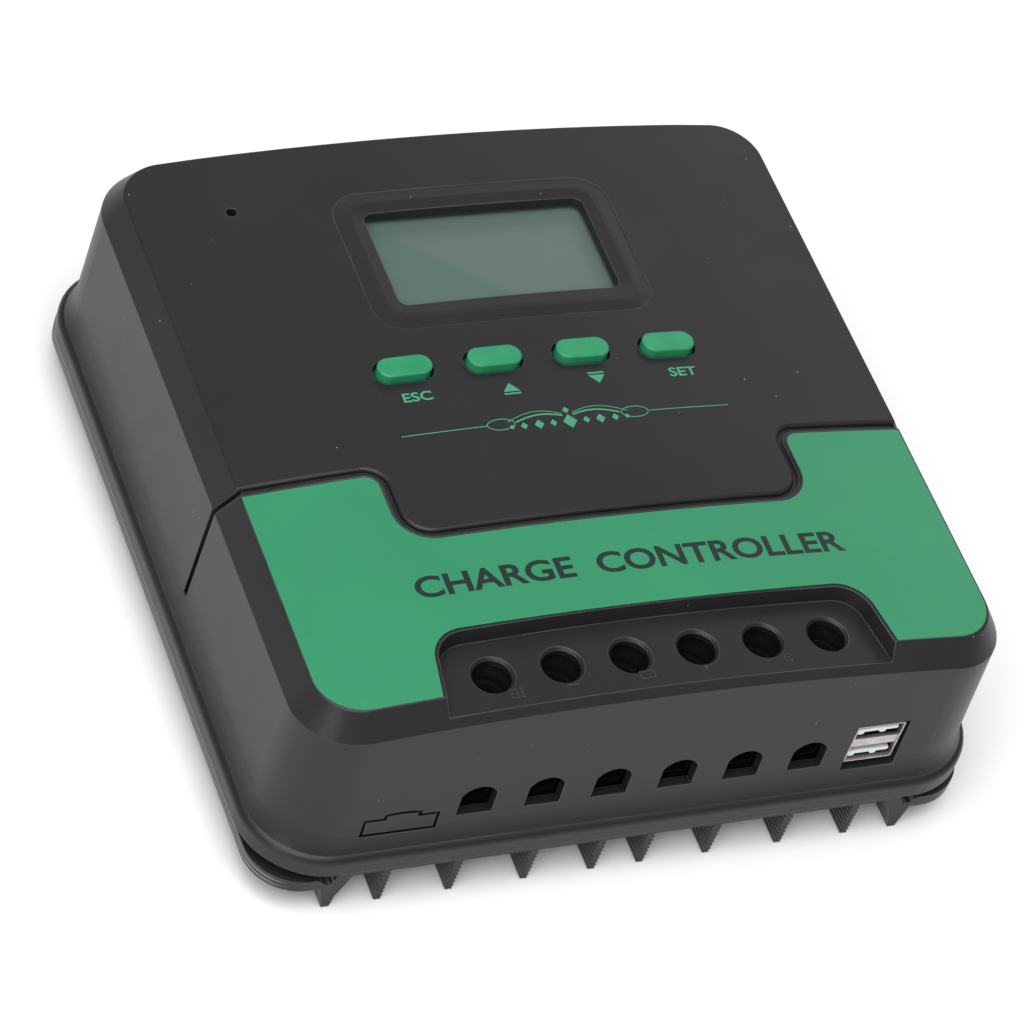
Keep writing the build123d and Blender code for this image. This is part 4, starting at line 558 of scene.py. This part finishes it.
def text_faces(words, height, span, bold, centre):
    """Flat faces of plain lettering of a given cap height, spread to fill span, centred at a point."""
    curve = bpy.data.curves.new("lettering", "FONT")
    curve.body = words
    curve.align_x = "CENTER"
    curve.align_y = "CENTER"
    curve.size = 1.0
    curve.offset = bold
    curve.resolution_u = LETTER_STEPS
    curve.fill_mode = "FRONT"
    holder = bpy.data.objects.new("lettering", curve)
    bpy.context.scene.collection.objects.link(holder)
    bpy.context.view_layer.update()
    evaluated = holder.evaluated_get(bpy.context.evaluated_depsgraph_get())
    mesh = bpy.data.meshes.new_from_object(evaluated)
    bpy.data.objects.remove(holder)
    bpy.data.curves.remove(curve)
    letters = bmesh.new()
    letters.from_mesh(mesh)
    bpy.data.meshes.remove(mesh)
    bmesh.ops.remove_doubles(letters, verts=letters.verts, dist=LETTER_WELD)
    low = Vector((min(v.co.x for v in letters.verts), min(v.co.y for v in letters.verts)))
    high = Vector((max(v.co.x for v in letters.verts), max(v.co.y for v in letters.verts)))
    scale_x = span / (high.x - low.x)
    scale_y = height / (high.y - low.y)
    for vert in letters.verts:
        vert.co.x = centre[0] + (vert.co.x - (low.x + high.x) / 2) * scale_x
        vert.co.y = centre[1] + (vert.co.y - (low.y + high.y) / 2) * scale_y
    return letters


# ---- Prints ------------------------------------------------------------------------------------


def centre_x(node):
    """Middle of a node along X."""
    low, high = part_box(node)
    return (low.x + high.x) / 2


def button_legends():
    """Plain words and arrows below the four buttons."""
    for word, (node, shift) in LEGENDS.items():
        centre = (centre_x(node) + shift, LEGEND_Y)
        faces = text_faces(word, LEGEND_HIGH, LEGEND_WIDE, LEGEND_BOLD, centre)
        piece(f"legend_{word.lower()}", print_on_crown(faces), PRINT_GREEN, "root")
    for name, (node, up) in ARROWS.items():
        x = centre_x(node) + ARROW_SHIFT
        foot = ARROW_Y - up * ARROW_TALL / 2
        tip = ARROW_Y + up * ARROW_TALL / 2
        bar = foot - up * ARROW_GAP
        faces = bmesh.new()
        add_polygon(faces, [(x - ARROW_HALF, foot), (x + ARROW_HALF, foot), (x, tip)])
        add_block(faces, x - ARROW_HALF, x + ARROW_HALF, bar, bar - up * ARROW_BAR)
        piece(f"legend_arrow_{name}", print_on_crown(faces), PRINT_GREEN, "root")


def divider_motif():
    """Plain divider below the buttons: a rule each side of a row of lozenges under two arcs."""
    faces = bmesh.new()
    lozenge_y = DIVIDER_Y - LOZENGE_DROP
    for side in (-1, 1):
        rule = [RULE_FROM + (RULE_TO - RULE_FROM) * i / RULE_STEPS for i in range(RULE_STEPS + 1)]
        add_strip(faces, [(DIVIDER_X + side * reach, DIVIDER_Y) for reach in rule], RULE_WIDE)
        ring_x = DIVIDER_X + side * (RULE_FROM - RING_WIDE)
        add_ring(faces, ring_x, DIVIDER_Y, RING_WIDE, RING_HIGH, RULE_WIDE, RING_STEPS)
        for reach, rise, width in ARCS:
            arc = []
            for i in range(ARC_STEPS + 1):
                part = i / ARC_STEPS
                x = DIVIDER_X + side * (ARC_FROM + reach * part)
                y = DIVIDER_Y - ARC_DROP + rise * math.sin(math.pi * (ARC_PHASE + ARC_TURN * part))
                arc.append((x, y))
            add_strip(faces, arc, width)
        for place, half in LOZENGES:
            add_lozenge(faces, DIVIDER_X + side * place, lozenge_y, half)
    add_lozenge(faces, DIVIDER_X, lozenge_y, MIDDLE_LOZENGE)
    add_lozenge(faces, DIVIDER_X, DIVIDER_Y + UPPER_LOZENGE_RISE, UPPER_LOZENGE)
    piece("divider_motif", print_on_crown(faces), PRINT_GREEN, "root")


def label_wording():
    """Generic wording across the label."""
    words = text_faces(WORDING, WORDING_HIGH, WORDING_WIDE, WORDING_BOLD, WORDING_AT)
    piece("label_wording", print_on_crown(words, LABEL_DROP), PRINT_DARK, "root")


def terminal_pictograms():
    """Small raised symbols along the terminal panel's front: cells, bars, a battery and a lamp."""
    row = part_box("terminal_screw_1")[0].y - SYMBOL_ROW
    cells = bmesh.new()
    for column in (-1, 0, 1):
        for rank in (-1, 0, 1):
            x = centre_x("terminal_screw_1") + CELL_X + CELL_PITCH_X * column
            y = row + CELL_PITCH_Y * rank
            add_block(cells, x - CELL_HALF, x + CELL_HALF, y - CELL_HALF, y + CELL_HALF)
    bars = bmesh.new()
    for number, shift, long in BARS:
        x = centre_x(f"terminal_screw_{number}") + shift
        add_strip(bars, [(x - long / 2, row), (x + long / 2, row)], SYMBOL_LINE)
    x = centre_x(f"terminal_screw_{CROSS_TERMINAL}")
    add_strip(bars, [(x, row - CROSS_HALF), (x, row + CROSS_HALF)], SYMBOL_LINE)
    battery = bmesh.new()
    x = centre_x("terminal_screw_3") + BATTERY_X
    left, right = x - BATTERY_HALF_WIDE, x + BATTERY_HALF_WIDE
    bottom, top = row - BATTERY_HALF_HIGH, row + BATTERY_HALF_HIGH
    corners = [(left, bottom), (right, bottom), (right, top), (left, top)]
    for start, end in zip(corners, corners[1:] + corners[:1]):
        add_strip(battery, [start, end], SYMBOL_LINE)
    lamp = bmesh.new()
    x, y = centre_x("terminal_screw_5") + LAMP_X, row + LAMP_RISE
    add_ring(lamp, x, y, LAMP_WIDE / 2, LAMP_WIDE / 2, SYMBOL_LINE, LAMP_STEPS)
    add_strip(lamp, [(x - LAMP_STROKE, y + LAMP_STROKE), (x + LAMP_STROKE, y - LAMP_STROKE)], SYMBOL_LINE)
    for name, faces in (("cells", cells), ("bars", bars), ("battery", battery), ("lamp", lamp)):
        raised = print_on_crown(faces, PANEL_DROP, SYMBOL_RISE)
        piece(f"pictogram_{name}", raised, MATERIALS["cover_black"], "root")


# ---- Studio ------------------------------------------------------------------------------------


def softbox(name, place, target, width, height, watts):
    """A rectangular soft light aimed at a point."""
    light = bpy.data.lights.new(name, "AREA")
    light.shape = "RECTANGLE"
    light.size, light.size_y = width, height
    light.energy = watts
    holder = bpy.data.objects.new(name, light)
    holder.location = place
    holder.rotation_euler = (Vector(target) - Vector(place)).to_track_quat("-Z", "Y").to_euler()
    bpy.context.scene.collection.objects.link(holder)


def studio():
    """Plain pale floor, soft lights, dim surroundings and the camera."""
    ground = bmesh.new()
    bmesh.ops.create_grid(ground, x_segments=1, y_segments=1, size=FLOOR_SIZE)
    mesh = bpy.data.meshes.new("floor")
    ground.to_mesh(mesh)
    ground.free()
    floor = bpy.data.objects.new("floor", mesh)
    floor.location.z = FLOOR_Z
    bpy.context.scene.collection.objects.link(floor)
    paper = Shader("floor_paper", FLOOR_TONE, roughness=0.9)
    fibre = paper.noise(4 * MM, detail=3)
    sheet = paper.mix(fibre, FLOOR_DARKER, FLOOR_LIGHTER)
    mirrored = paper.add("ShaderNodeLightPath").outputs["Is Glossy Ray"]
    mesh.materials.append(paper.finish(paper.mix(mirrored, sheet, FLOOR_IN_GLOSS)))

    world = bpy.data.worlds.new("studio")
    world.use_nodes = True
    background = world.node_tree.nodes["Background"].inputs
    background["Color"].default_value = (1, 1, 1, 1)
    background["Strength"].default_value = SURROUNDINGS
    bpy.context.scene.world = world

    for name, place, target, width, height, watts in SOFTBOXES:
        softbox(name, place, target, width, height, watts)

    camera = bpy.data.cameras.new("camera")
    camera.lens = CAMERA_LENS
    camera.sensor_width = CAMERA_SENSOR
    holder = bpy.data.objects.new("camera", camera)
    turn = Matrix((CAMERA_RIGHT, CAMERA_UP, CAMERA_BACK)).transposed()
    holder.matrix_world = Matrix.Translation(CAMERA_AT) @ turn.to_4x4()
    bpy.context.scene.collection.objects.link(holder)
    bpy.context.scene.camera = holder
    bpy.context.scene.view_settings.view_transform = "Standard"


dress_nodes()
button_legends()
divider_motif()
label_wording()
terminal_pictograms()
studio()
